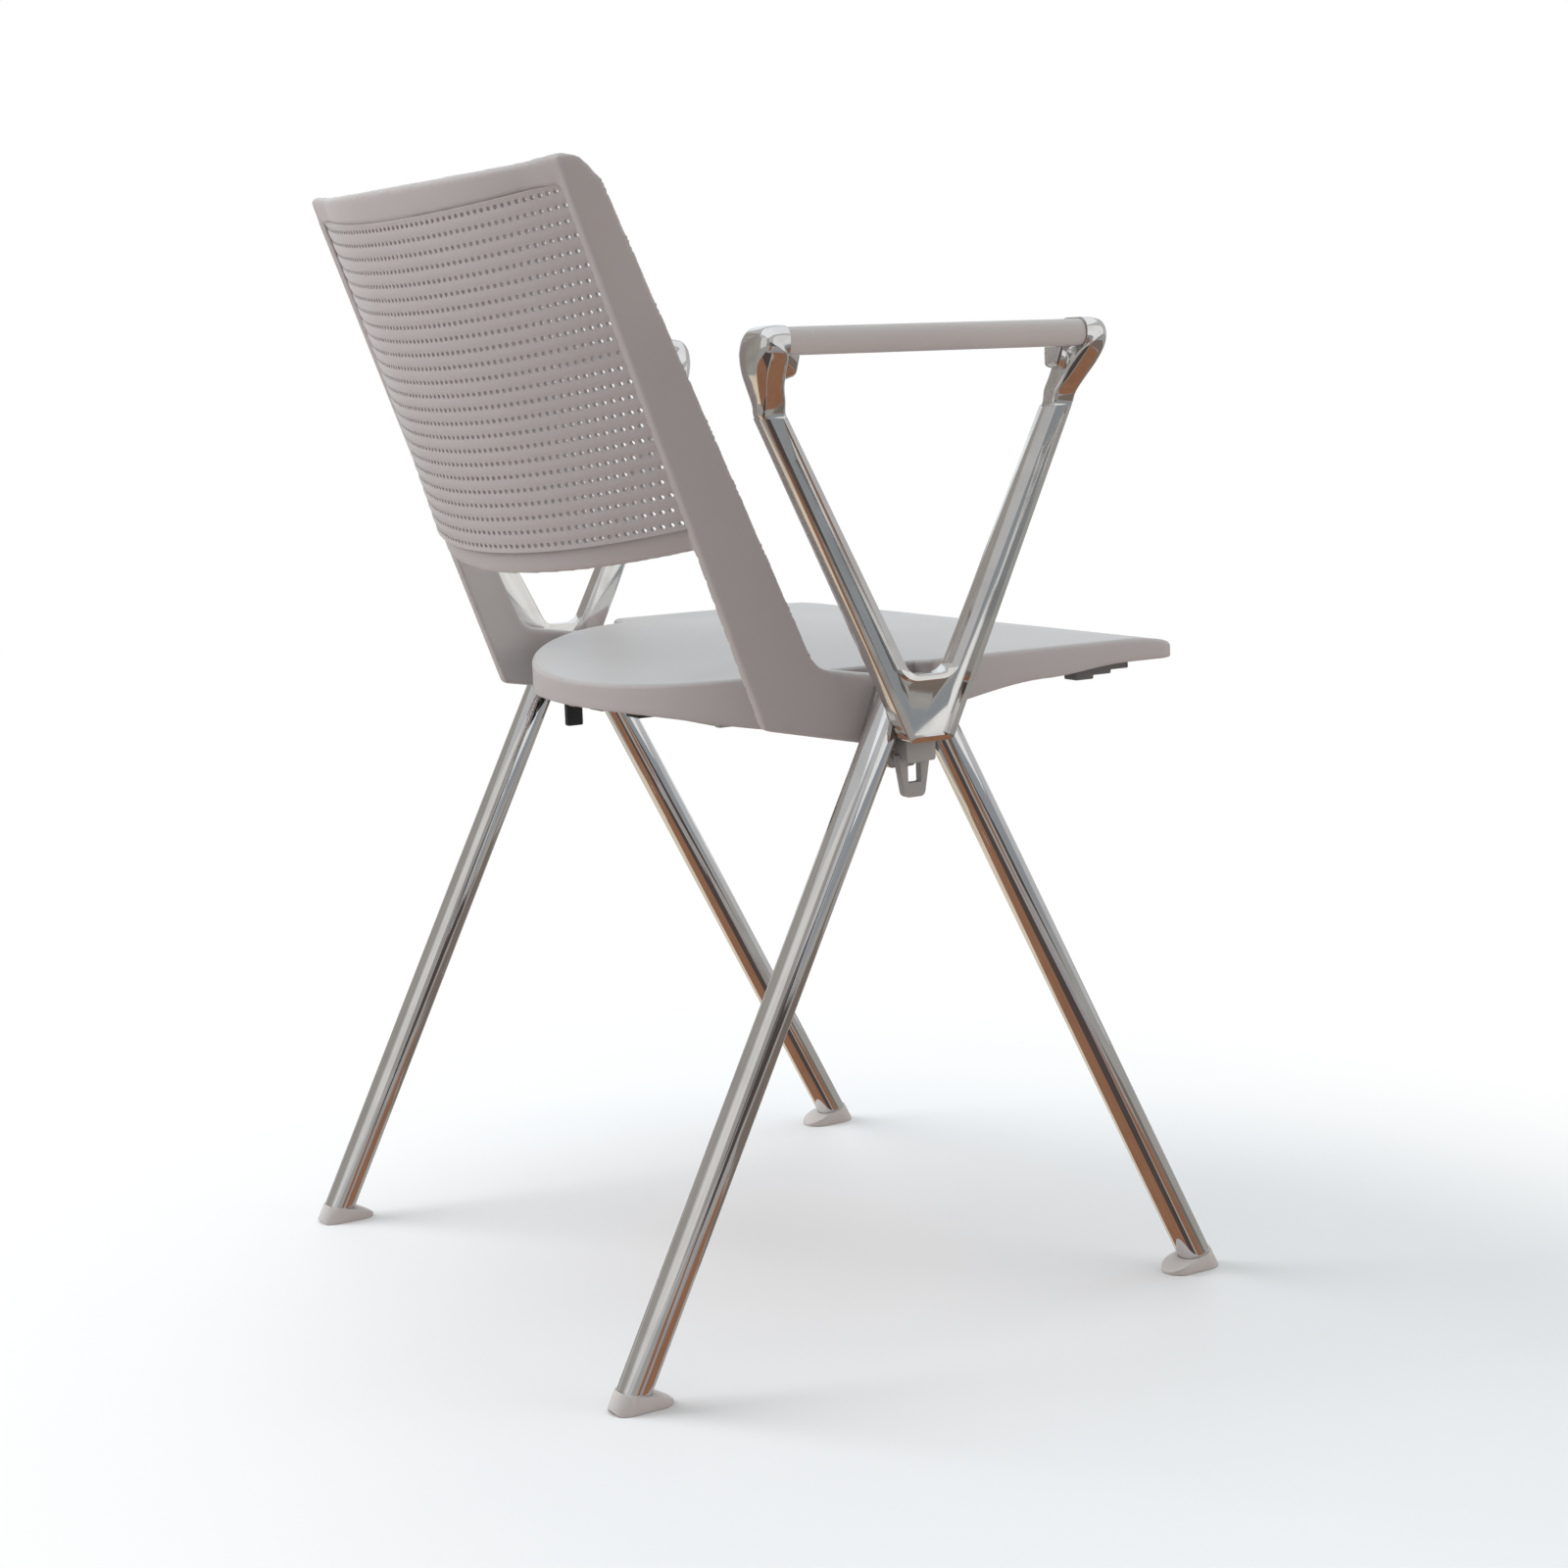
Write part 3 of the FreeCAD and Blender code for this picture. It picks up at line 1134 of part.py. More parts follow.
def assembly():
    """Every node of the chair, by name."""
    nodes = {}
    nodes.update(both_sides("leg_front", leg(-FRONT_FOOT_REACH)))
    nodes.update(both_sides("leg_rear", leg(REAR_FOOT_REACH)))
    nodes.update(both_sides("foot_glide_front", foot(-FRONT_FOOT_REACH)))
    nodes.update(both_sides("foot_glide_rear", foot(REAR_FOOT_REACH)))
    nodes.update(both_sides("hub_plate", hub_plate()))
    nodes["cross_tube"] = cross_tube()
    nodes["side_bolts"] = group(side_bolts())
    nodes["crotch_block_left"] = crotch_block().cut(link_bar_room(HUB_OUTER_X - PAST, ARM_FACE_X + PAST))
    nodes["link_loop_right"] = mirrored(link_loop_block())
    nodes["link_bar"] = link_bar()
    nodes["link_plug"] = link_plug()
    nodes["link_guide_inner"] = link_guide(LINK_INNER_GUIDE_X)
    nodes["link_guide_outer"] = link_guide(LINK_OUTER_GUIDE_X)
    nodes["seat_rail_left"] = seat_rail(1)
    nodes["seat_rail_right"] = seat_rail(-1)
    nodes["seat_shell"] = seat_shell()
    nodes["seat_screws"] = Part.makeCompound(seat_screws())
    nodes.update(both_sides("stacking_bumper", stacking_bumper()))
    nodes["back_frame"] = back_frame()
    nodes["back_panel"] = back_panel()
    nodes.update(both_sides("arm_casting", arm_casting()))
    nodes.update(both_sides("arm_pad", arm_pad()))
    nodes["pad_screws"] = group(pad_screws())
    return nodes


def middle_y():
    """The y halfway between the chair's front and its rear, where the origin lies."""
    front = max(SEAT_FRONT + SEAT_FRONT_BOW, FRONT_FOOT_REACH + foot_heel(FRONT_FOOT_REACH))
    crest_y, crest_z = back_place(TOP_RAIL_CREST, back_bow(TOP_RAIL_CREST))
    rear = max(crest_y, REAR_FOOT_REACH + foot_heel(REAR_FOOT_REACH))
    return (rear - front) / 2


def main():
    """Move every node to the chair's own origin and write it."""
    os.makedirs("parts", exist_ok=True)
    for name, shape in assembly().items():
        shape.translate(Vector(0, -middle_y(), 0))
        solids = shape.Solids
        valid = all(solid.isValid() for solid in solids)
        volume = sum(solid.Volume for solid in solids) / CUBIC_CM
        print(f"{name}: {len(solids)} solids, valid {valid}, {volume:.2f} cm3")
        shape.exportStep(os.path.join("parts", name + ".step"))


main()
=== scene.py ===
"""Stacking conference armchair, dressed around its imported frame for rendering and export."""

import logging
import math
from dataclasses import dataclass
from enum import Enum
from typing import Callable, NamedTuple, Optional, Sequence, Union

import bmesh
import bpy
from mathutils import Matrix, Vector


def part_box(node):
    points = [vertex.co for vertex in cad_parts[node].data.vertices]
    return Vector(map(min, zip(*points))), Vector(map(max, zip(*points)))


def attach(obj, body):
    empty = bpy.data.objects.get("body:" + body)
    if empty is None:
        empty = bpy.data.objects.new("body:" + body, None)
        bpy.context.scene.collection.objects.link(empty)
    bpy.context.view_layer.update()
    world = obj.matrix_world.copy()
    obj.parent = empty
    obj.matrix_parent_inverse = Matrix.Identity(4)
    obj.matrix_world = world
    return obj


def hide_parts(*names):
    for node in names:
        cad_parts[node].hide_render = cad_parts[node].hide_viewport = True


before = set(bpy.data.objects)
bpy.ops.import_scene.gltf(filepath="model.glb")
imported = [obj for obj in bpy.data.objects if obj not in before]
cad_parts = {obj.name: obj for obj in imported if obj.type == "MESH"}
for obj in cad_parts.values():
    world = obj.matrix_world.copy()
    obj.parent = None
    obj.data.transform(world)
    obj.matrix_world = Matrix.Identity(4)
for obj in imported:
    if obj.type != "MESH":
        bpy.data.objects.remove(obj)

LOG = logging.getLogger("armchair")
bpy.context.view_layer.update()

# Meshes are written in millimetres about the plane of the cross tube, as the solids are
MM = 0.001
TUBE_LOW, TUBE_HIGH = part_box("cross_tube")
HUB_PLANE_Y = (TUBE_LOW.y + TUBE_HIGH.y) / 2 / MM

# Points this near are welded, in metres, and edges this sharp are kept or rounded
NODE_WELD = 0.00001
POINT_WELD = NODE_WELD / 10
FLAT_ANGLE = math.radians(1.0)
ROUNDED_ANGLE = math.radians(35.0)
SHARP_ANGLE = math.radians(38.0)
BLENDED_ANGLE = math.radians(75.0)
EDGE_STEPS = 3
LEAST_RADIUS = 0.02
SMOOTHING = 0.5
WHITE = (1.0, 1.0, 1.0)

Point = tuple[float, float, float]
Flat = tuple[float, float]
Colour = tuple[float, float, float]
Number = Union[float, "Value"]


class Body(Enum):
    """The bodies that pieces ride on."""

    CHAIR = "chair"
    ROW_LINK = "row_link"


class Side(Enum):
    """The two sides of the chair, by the sign of x."""

    LEFT = 1
    RIGHT = -1

    @property
    def word(self) -> str:
        """Name of the side, as nodes have it."""
        return self.name.lower()


class Slot(Enum):
    """The record's material slots."""

    CHROME = "chrome"
    CASTING = "polished_casting"
    STEEL = "plated_steel"
    SHELL = "shell_plastic"
    GLIDE = "glide_plastic"
    BLOCK = "block_plastic"
    BUMPER = "bumper_plastic"
    BLACK = "black_plastic"


# Node trees


class Value:
    """A number that flows through a node tree. Arithmetic on it adds Math nodes."""

    def __init__(self, nodes: "Nodes", socket: bpy.types.NodeSocket) -> None:
        """Wrap a socket.

        Args:
            nodes: The tree that the socket is in.
            socket: The output that gives the number.
        """
        self.nodes = nodes
        self.socket = socket

    def math(self, operation: str, *others: Number) -> "Value":
        """Add a Math node that starts from this number.

        Args:
            operation: The node's operation.
            others: The node's second and third number.

        Returns:
            The node's result.
        """
        numbers = dict(enumerate((self,) + others))
        node = self.nodes.add("ShaderNodeMath", {"operation": operation}, numbers)
        return Value(self.nodes, node.outputs[0])

    def swapped(self, operation: str, other: float) -> "Value":
        """Add a Math node in which this number comes second.

        Args:
            operation: The node's operation.
            other: The plain number that comes first.

        Returns:
            The node's result.
        """
        node = self.nodes.add("ShaderNodeMath", {"operation": operation}, {0: other, 1: self})
        return Value(self.nodes, node.outputs[0])

    def __add__(self, other: Number) -> "Value":
        """Sum."""
        return self.math("ADD", other)

    __radd__ = __add__

    def __sub__(self, other: Number) -> "Value":
        """Difference."""
        return self.math("SUBTRACT", other)

    def __rsub__(self, other: float) -> "Value":
        """Difference from a plain number."""
        return self.swapped("SUBTRACT", other)

    def __mul__(self, other: Number) -> "Value":
        """Product."""
        return self.math("MULTIPLY", other)

    __rmul__ = __mul__

    def __truediv__(self, other: Number) -> "Value":
        """Quotient."""
        return self.math("DIVIDE", other)

    def __rtruediv__(self, other: float) -> "Value":
        """Quotient of a plain number."""
        return self.swapped("DIVIDE", other)

    def __mod__(self, other: Number) -> "Value":
        """Remainder, never negative."""
        return self.math("FLOORED_MODULO", other)

    def floor(self) -> "Value":
        """Whole part."""
        return self.math("FLOOR")

    def sin(self) -> "Value":
        """Sine."""
        return self.math("SINE")

    def cos(self) -> "Value":
        """Cosine."""
        return self.math("COSINE")

    def arcsin(self) -> "Value":
        """Angle of a sine."""
        return self.math("ARCSINE")

    def below(self, limit: Number) -> "Value":
        """One where the number is under the limit, else zero."""
        return self.math("LESS_THAN", limit)

    def above(self, limit: Number) -> "Value":
        """One where the number is over the limit, else zero."""
        return self.math("GREATER_THAN", limit)

    def ease(self, low: float, high: float) -> "Value":
        """Ease from 0 at low to 1 at high.

        Args:
            low: Where it is still 0.
            high: Where it is 1.

        Returns:
            The eased number.
        """
        inputs = {"Value": self, "From Min": low, "From Max": high}
        node = self.nodes.add("ShaderNodeMapRange", {"interpolation_type": "SMOOTHSTEP"}, inputs)
        return Value(self.nodes, node.outputs["Result"])


class Nodes:
    """Adds nodes to one tree."""

    def __init__(self, tree: bpy.types.NodeTree) -> None:
        """Wrap a tree.

        Args:
            tree: The tree to fill.
        """
        self.tree = tree

    def feed(self, socket: bpy.types.NodeSocket, given: object) -> None:
        """Link a number or a socket to an input, or set the input to a plain value.

        Args:
            socket: The input.
            given: A wrapped number, a socket or a plain value. A colour has three numbers.
        """
        if isinstance(given, Value):
            self.tree.links.new(given.socket, socket)
        elif isinstance(given, bpy.types.NodeSocket):
            self.tree.links.new(given, socket)
        elif socket.type == "RGBA":
            socket.default_value = (*given, 1.0)
        else:
            socket.default_value = given

    def add(
        self, kind: str, settings: Optional[dict] = None, inputs: Optional[dict] = None
    ) -> bpy.types.Node:
        """Add a node.

        Args:
            kind: The node's type.
            settings: Its properties, which are set first.
            inputs: Values, sockets or wrapped numbers by socket name or index.

        Returns:
            The node.
        """
        node = self.tree.nodes.new(kind)
        for key, setting in (settings or {}).items():
            setattr(node, key, setting)
        for key, given in (inputs or {}).items():
            self.feed(node.inputs[key], given)
        return node

    def value(self, kind: str, output: Union[str, int], settings: dict, inputs: dict) -> Value:
        """Add a node and take one of its outputs as a number.

        Args:
            kind: The node's type.
            output: The output's name or index.
            settings: Its properties.
            inputs: Its inputs.

        Returns:
            The output as a number.
        """
        return Value(self, self.add(kind, settings, inputs).outputs[output])

    def mix(self, share: Number, first: object, second: object) -> bpy.types.NodeSocket:
        """Mix two colours.

        Args:
            share: How much of the second there is.
            first: A colour or a colour socket.
            second: A colour or a colour socket.

        Returns:
            The mixed colour's socket.
        """
        inputs = {0: share, 6: first, 7: second}
        return self.add("ShaderNodeMix", {"data_type": "RGBA"}, inputs).outputs[2]

    def axes(self, vector: bpy.types.NodeSocket) -> tuple[Value, Value, Value]:
        """Split a vector.

        Args:
            vector: The vector's socket.

        Returns:
            Its three numbers.
        """
        node = self.add("ShaderNodeSeparateXYZ", None, {0: vector})
        return tuple(Value(self, output) for output in node.outputs)

    def vector(self, x: Number, y: Number, z: Number) -> bpy.types.NodeSocket:
        """Join three numbers to a vector.

        Args:
            x: First number.
            y: Second number.
            z: Third number.

        Returns:
            The vector's socket.
        """
        return self.add("ShaderNodeCombineXYZ", None, {0: x, 1: y, 2: z}).outputs[0]


# Finishes


class Shader(Nodes):
    """A material's tree with its main shader."""

    def __init__(self, name: str) -> None:
        """Start a material.

        Args:
            name: The material's name.
        """
        self.material = bpy.data.materials.new(name)
        self.material.use_nodes = True
        super().__init__(self.material.node_tree)
        self.main = self.tree.nodes["Principled BSDF"]
        self.place = self.add("ShaderNodeTexCoord").outputs["Object"]

    def noise(self, scale: float, detail: float, stretch: Point = (1.0, 1.0, 1.0)) -> Value:
        """Noise over the piece.

        Args:
            scale: Waves per metre.
            detail: Octaves.
            stretch: Scale of each axis.

        Returns:
            The noise, from 0 to 1.
        """
        place = self.add("ShaderNodeMapping", None, {"Vector": self.place, "Scale": stretch}).outputs[0]
        inputs = {"Vector": place, "Scale": scale, "Detail": detail}
        return self.value("ShaderNodeTexNoise", 0, {}, inputs)

    def set(self, **inputs: object) -> None:
        """Set or link inputs of the main shader, with _ for a space in a name."""
        for key, given in inputs.items():
            self.feed(self.main.inputs[key.replace("_", " ")], given)

    def show(self, node: bpy.types.Node) -> None:
        """Let another node than the main shader give the surface."""
        self.feed(self.tree.nodes["Material Output"].inputs["Surface"], node.outputs[0])

    def bump(self, height: Value, depth_mm: float) -> None:
        """Raise the surface.

        Args:
            height: Height, from 0 to 1.
            depth_mm: What 1 stands for, in millimetres.
        """
        inputs = {"Height": height, "Distance": depth_mm * MM, "Strength": 1.0}
        self.set(Normal=self.add("ShaderNodeBump", None, inputs).outputs[0])


@dataclass(frozen=True)
class MouldedPlastic:
    """Moulded plastic with a fine spark-eroded grain, slight clouding and rubbed marks."""

    name: str
    slot: Slot
    colour: Colour
    shade: Colour
    roughness: float
    gloss: float = 0.4
    grain_per_metre: float = 1700.0
    grain_octaves: float = 2.0
    grain_depth: float = 0.035
    grain_share: float = 0.25
    grain_roughness: float = 0.12
    cloud_per_metre: float = 9.0
    cloud_octaves: float = 4.0
    cloud_limits: Flat = (0.3, 0.7)
    mark_per_metre: float = 130.0
    mark_octaves: float = 5.0
    mark_stretch: Point = (1.0, 1.0, 0.35)
    mark_limits: Flat = (0.66, 0.78)
    mark_strength: float = 0.35
    mark_lift: float = 1.12
    mark_polish: float = 0.2

    def material(self) -> bpy.types.Material:
        """Build the material.

        Returns:
            The material.
        """
        shader = Shader(self.name)
        grain = shader.noise(self.grain_per_metre, self.grain_octaves)
        cloud = shader.noise(self.cloud_per_metre, self.cloud_octaves)
        rubbed = shader.noise(self.mark_per_metre, self.mark_octaves, self.mark_stretch)
        marks = rubbed.ease(*self.mark_limits) * self.mark_strength
        share = cloud.ease(*self.cloud_limits) * (1 - self.grain_share) + grain * self.grain_share
        base = shader.mix(share, self.shade, self.colour)
        worn = tuple(min(1.0, c * self.mark_lift) for c in self.colour)
        shader.set(Base_Color=shader.mix(marks, base, worn))
        uneven = self.roughness + (grain - 0.5) * self.grain_roughness
        shader.set(Roughness=uneven - marks * self.mark_polish)
        shader.set(Specular_IOR_Level=self.gloss)
        shader.bump(grain, self.grain_depth)
        return shader.material


@dataclass(frozen=True)
class BrightMetal:
    """Plated or polished metal with faint wipe marks, specks of dust and a soft ripple."""

    name: str
    slot: Slot
    colour: Colour
    shade: Colour
    roughness: float
    haze: float
    ripple_depth: float
    wipe_per_metre: float = 38.0
    wipe_octaves: float = 5.0
    wipe_limits: Flat = (0.42, 0.72)
    speck_per_metre: float = 700.0
    speck_octaves: float = 3.0
    speck_limits: Flat = (0.7, 0.8)
    speck_height: float = 0.05
    ripple_per_metre: float = 16.0
    ripple_octaves: float = 2.0

    def material(self) -> bpy.types.Material:
        """Build the material.

        Returns:
            The material.
        """
        shader = Shader(self.name)
        wipe = shader.noise(self.wipe_per_metre, self.wipe_octaves)
        specks = shader.noise(self.speck_per_metre, self.speck_octaves)
        ripple = shader.noise(self.ripple_per_metre, self.ripple_octaves)
        film = wipe.ease(*self.wipe_limits)
        dust = specks.ease(*self.speck_limits)
        shader.set(Metallic=1.0)
        shader.set(Base_Color=shader.mix(film, self.colour, self.shade))
        shader.set(Roughness=self.roughness + film * self.haze + dust * (self.haze / 2))
        shader.bump(ripple + specks * self.speck_height, self.ripple_depth)
        return shader.material


Finish = Union[MouldedPlastic, BrightMetal]

GREY_PLASTIC = MouldedPlastic(
    "grey_moulded_plastic",
    Slot.SHELL,
    colour=(0.352, 0.303, 0.290),
    shade=(0.335, 0.288, 0.276),
    roughness=0.38,
    gloss=0.6,
)
PAD_PLASTIC = MouldedPlastic(
    "grey_pad_plastic",
    Slot.SHELL,
    colour=(0.385, 0.332, 0.315),
    shade=(0.362, 0.312, 0.296),
    roughness=0.5,
)
GLIDE_PLASTIC = MouldedPlastic(
    "grey_glide_plastic",
    Slot.GLIDE,
    colour=(0.485, 0.425, 0.40),
    shade=(0.435, 0.382, 0.36),
    roughness=0.5,
)
# Plastic of the crotch block and the link loop. It is darker than the shell plastic, and that darker grey
# is painted shade for the hollow under the seat where they sit.
SHADED_BLOCK_PLASTIC = MouldedPlastic(
    "shaded_grey_block_plastic",
    Slot.BLOCK,
    colour=(0.30, 0.27, 0.255),
    shade=(0.26, 0.234, 0.22),
    roughness=0.5,
)
BUMPER_PLASTIC = MouldedPlastic(
    "dark_bumper_plastic",
    Slot.BUMPER,
    colour=(0.12, 0.11, 0.105),
    shade=(0.09, 0.083, 0.08),
    roughness=0.6,
)
BLACK_PLASTIC = MouldedPlastic(
    "black_plug_plastic",
    Slot.BLACK,
    colour=(0.012, 0.012, 0.013),
    shade=(0.02, 0.02, 0.021),
    roughness=0.5,
)
CHROME = BrightMetal(
    "chrome_plating",
    Slot.CHROME,
    colour=(0.86, 0.86, 0.87),
    shade=(0.80, 0.80, 0.81),
    roughness=0.035,
    haze=0.05,
    ripple_depth=0.02,
)
CASTING = BrightMetal(
    "polished_casting",
    Slot.CASTING,
    colour=(0.83, 0.82, 0.81),
    shade=(0.74, 0.73, 0.72),
    roughness=0.07,
    haze=0.08,
    ripple_depth=0.05,
)
STEEL = BrightMetal(
    "plated_steel",
    Slot.STEEL,
    colour=(0.66, 0.66, 0.65),
    shade=(0.56, 0.55, 0.53),
    roughness=0.28,
    haze=0.15,
    ripple_depth=0.03,
)


class Dresser:
    """Keeps one material for each finish and fits pieces to their bodies."""

    def __init__(self) -> None:
        """Start with no materials."""
        self.made: dict[str, bpy.types.Material] = {}

    def material(self, finish: Finish) -> bpy.types.Material:
        """Material of a finish, made once.

        Args:
            finish: The finish.

        Returns:
            Its material.
        """
        if finish.name not in self.made:
            self.made[finish.name] = finish.material()
        return self.made[finish.name]

    def fit(
        self, piece: bpy.types.Object, finish: Finish, node: str, body: Body = Body.CHAIR
    ) -> None:
        """Dress a piece, let it stand for its node and ride on its body.

        Args:
            piece: The piece's object.
            finish: What it is made of.
            node: The node that it stands for.
            body: What it rides on.
        """
        piece.data.materials.clear()
        piece.data.materials.append(self.material(finish))
        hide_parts(node)
        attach(piece, body.value)
        triangles = sum(len(face.vertices) - 2 for face in piece.data.polygons)
        LOG.info("%s stands for %s, %d triangles", piece.name, node, triangles)

    def copy(
        self,
        node: str,
        name: str,
        finish: Finish,
        edge_mm: float,
        steps: int = EDGE_STEPS,
        body: Body = Body.CHAIR,
    ) -> None:
        """Dress a copy of a node with softened edges as that node.

        Args:
            node: The node.
            name: The copy's name.
            finish: What it is made of.
            edge_mm: Width of the edges' rounding.
            steps: Parts that the rounding has.
            body: What it rides on.
        """
        self.fit(cad_copy(node, name, edge_mm, steps), finish, node, body)


# Meshes


def lerp(low: float, high: float, share: float) -> float:
    """Number between two numbers."""
    return low + (high - low) * share


def ease(share: float) -> float:
    """Ease from 0 to 1."""
    t = min(max(share, 0.0), 1.0)
    return t * t * (3 - 2 * t)


def rounded_loop(corners: Sequence[Point], steps: int) -> list[Flat]:
    """Closed flat loop with rounded corners.

    Args:
        corners: Two coordinates and the radius of each corner.
        steps: Parts that each corner's arc has.

    Returns:
        The loop's points, steps + 1 at each corner.
    """
    points = []
    for i, (a, b, radius) in enumerate(corners):
        corner = Vector((a, b))
        before = (Vector(corners[i - 1][:2]) - corner).normalized()
        after = (Vector(corners[(i + 1) % len(corners)][:2]) - corner).normalized()
        half = math.acos(max(-1.0, min(1.0, before.dot(after)))) / 2
        radius = max(radius, LEAST_RADIUS)
        reach = radius / math.tan(half)
        centre = corner + (before + after).normalized() * (radius / math.sin(half))
        start = corner + before * reach - centre
        end = corner + after * reach - centre
        sweep = math.atan2(start.x * end.y - start.y * end.x, start.dot(end))
        for step in range(steps + 1):
            turn = Matrix.Rotation(sweep * step / steps, 2)
            points.append(tuple(centre + turn @ start))
    return points


def rounded_rectangle(low: Flat, high: Flat, radius: float, steps: int) -> list[Flat]:
    """Closed flat loop of a rectangle with rounded corners.

    Args:
        low: Its lower corner.
        high: Its upper corner.
        radius: Radius of its corners.
        steps: Parts that each corner's arc has.

    Returns:
        The loop's points.
    """
    corners = [
        (low[0], low[1], radius),
        (high[0], low[1], radius),
        (high[0], high[1], radius),
        (low[0], high[1], radius),
    ]
    return rounded_loop(corners, steps)


def circle(centre: Flat, radius: float, count: int) -> list[Flat]:
    """Closed flat loop of a circle.

    Args:
        centre: Its centre.
        radius: Its radius.
        count: How many points it has.

    Returns:
        The loop's points.
    """
    turns = [2 * math.pi * i / count for i in range(count)]
    return [(centre[0] + radius * math.cos(t), centre[1] + radius * math.sin(t)) for t in turns]


class MeshBuilder:
    """Gathers points in millimetres about the hub plane, and the faces between them."""

    def __init__(self) -> None:
        """Start empty."""
        self.points: list[Vector] = []
        self.faces: list[Sequence[int]] = []

    def ring(self, points: Sequence[Point]) -> list[int]:
        """Add points.

        Args:
            points: Their places.

        Returns:
            Their indices.
        """
        start = len(self.points)
        self.points.extend(Vector(point) for point in points)
        return list(range(start, len(self.points)))

    def bridge(self, first: Sequence[int], second: Sequence[int]) -> None:
        """Join two closed rings of as many points with four-cornered faces.

        Args:
            first: Indices of one ring.
            second: Indices of the other.
        """
        for i in range(len(first)):
            j = (i + 1) % len(first)
            self.faces.append((first[i], first[j], second[j], second[i]))

    def fan(self, ring: Sequence[int], centre: Point) -> None:
        """Close a ring with triangles to a centre.

        Args:
            ring: The ring's indices.
            centre: Place of the centre.
        """
        middle = self.ring([centre])[0]
        for i in range(len(ring)):
            self.faces.append((ring[i], ring[(i + 1) % len(ring)], middle))

    def loft(self, rings: Sequence[Sequence[Point]]) -> None:
        """Add a closed body through rings of as many points, with flat ends.

        Args:
            rings: The rings' points, from end to end.
        """
        indices = [self.ring(points) for points in rings]
        for first, second in zip(indices, indices[1:]):
            self.bridge(first, second)
        self.faces.append(indices[0])
        self.faces.append(indices[-1])

    def build(self, name: str) -> bpy.types.Object:
        """Make the object, in metres, with its faces outwards.

        Args:
            name: The object's name.

        Returns:
            The object.
        """
        places = [(p.x * MM, (p.y + HUB_PLANE_Y) * MM, p.z * MM) for p in self.points]
        mesh = bpy.data.meshes.new(name)
        mesh.from_pydata(places, [], self.faces)
        work = bmesh.new()
        work.from_mesh(mesh)
        bmesh.ops.remove_doubles(work, verts=work.verts, dist=POINT_WELD)
        bmesh.ops.recalc_face_normals(work, faces=work.faces)
        work.to_mesh(mesh)
        work.free()
        return stand(mesh, name)


def stand(mesh: bpy.types.Mesh, name: str) -> bpy.types.Object:
    """Put a mesh into the scene as an object at the origin.

    Args:
        mesh: The mesh.
        name: The object's name.

    Returns:
        The object.
    """
    piece = bpy.data.objects.new(name, mesh)
    bpy.context.scene.collection.objects.link(piece)
    return piece


def settle(piece: bpy.types.Object, sharp: float = SHARP_ANGLE) -> bpy.types.Object:
    """Turn an object's modifiers into plain mesh and shade it smooth between sharp edges.

    Args:
        piece: The object.
        sharp: Least angle of an edge that stays sharp.

    Returns:
        The same object.
    """
    graph = bpy.context.evaluated_depsgraph_get()
    mesh = bpy.data.meshes.new_from_object(piece.evaluated_get(graph), depsgraph=graph)
    piece.modifiers.clear()
    old = piece.data
    piece.data = mesh
    bpy.data.meshes.remove(old)
    mesh.name = piece.name
    mesh.shade_smooth()
    mesh.set_sharp_from_angle(angle=sharp)
    return piece


def discard(piece: bpy.types.Object) -> None:
    """Take an object and its mesh away.

    Args:
        piece: The object.
    """
    mesh = piece.data
    bpy.data.objects.remove(piece)
    bpy.data.meshes.remove(mesh)


def merge(piece: bpy.types.Object, others: Sequence[bpy.types.Object]) -> None:
    """Add other objects' meshes to an object's mesh, and take those objects away.

    Args:
        piece: The object that stays.
        others: The objects that go into it.
    """
    joined = bmesh.new()
    joined.from_mesh(piece.data)
    for other in others:
        joined.from_mesh(other.data)
        discard(other)
    joined.to_mesh(piece.data)
    joined.free()


def soften(
    piece: bpy.types.Object, width_mm: float, steps: int = EDGE_STEPS, angle: float = ROUNDED_ANGLE
) -> bpy.types.Object:
    """Round an object's edges.

    Args:
        piece: The object.
        width_mm: Width of the rounding.
        steps: Parts that it has.
        angle: Least angle of a rounded edge.

    Returns:
        The same object.
    """
    bevel = piece.modifiers.new("edges", "BEVEL")
    bevel.width = width_mm * MM
    bevel.segments = steps
    bevel.limit_method = "ANGLE"
    bevel.angle_limit = angle
    bevel.harden_normals = False
    return settle(piece)


def cad_copy(node: str, name: str, edge_mm: float, steps: int) -> bpy.types.Object:
    """Welded copy of a node with softened edges.

    Args:
        node: The node.
        name: The copy's name.
        edge_mm: Width of the edges' rounding.
        steps: Parts that it has.

    Returns:
        The copy.
    """
    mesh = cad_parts[node].data.copy()
    work = bmesh.new()
    work.from_mesh(mesh)
    bmesh.ops.remove_doubles(work, verts=work.verts, dist=NODE_WELD)
    bmesh.ops.dissolve_limit(work, angle_limit=FLAT_ANGLE, verts=work.verts, edges=work.edges)
    work.to_mesh(mesh)
    work.free()
    return soften(stand(mesh, name), edge_mm, steps)


# Base and row link


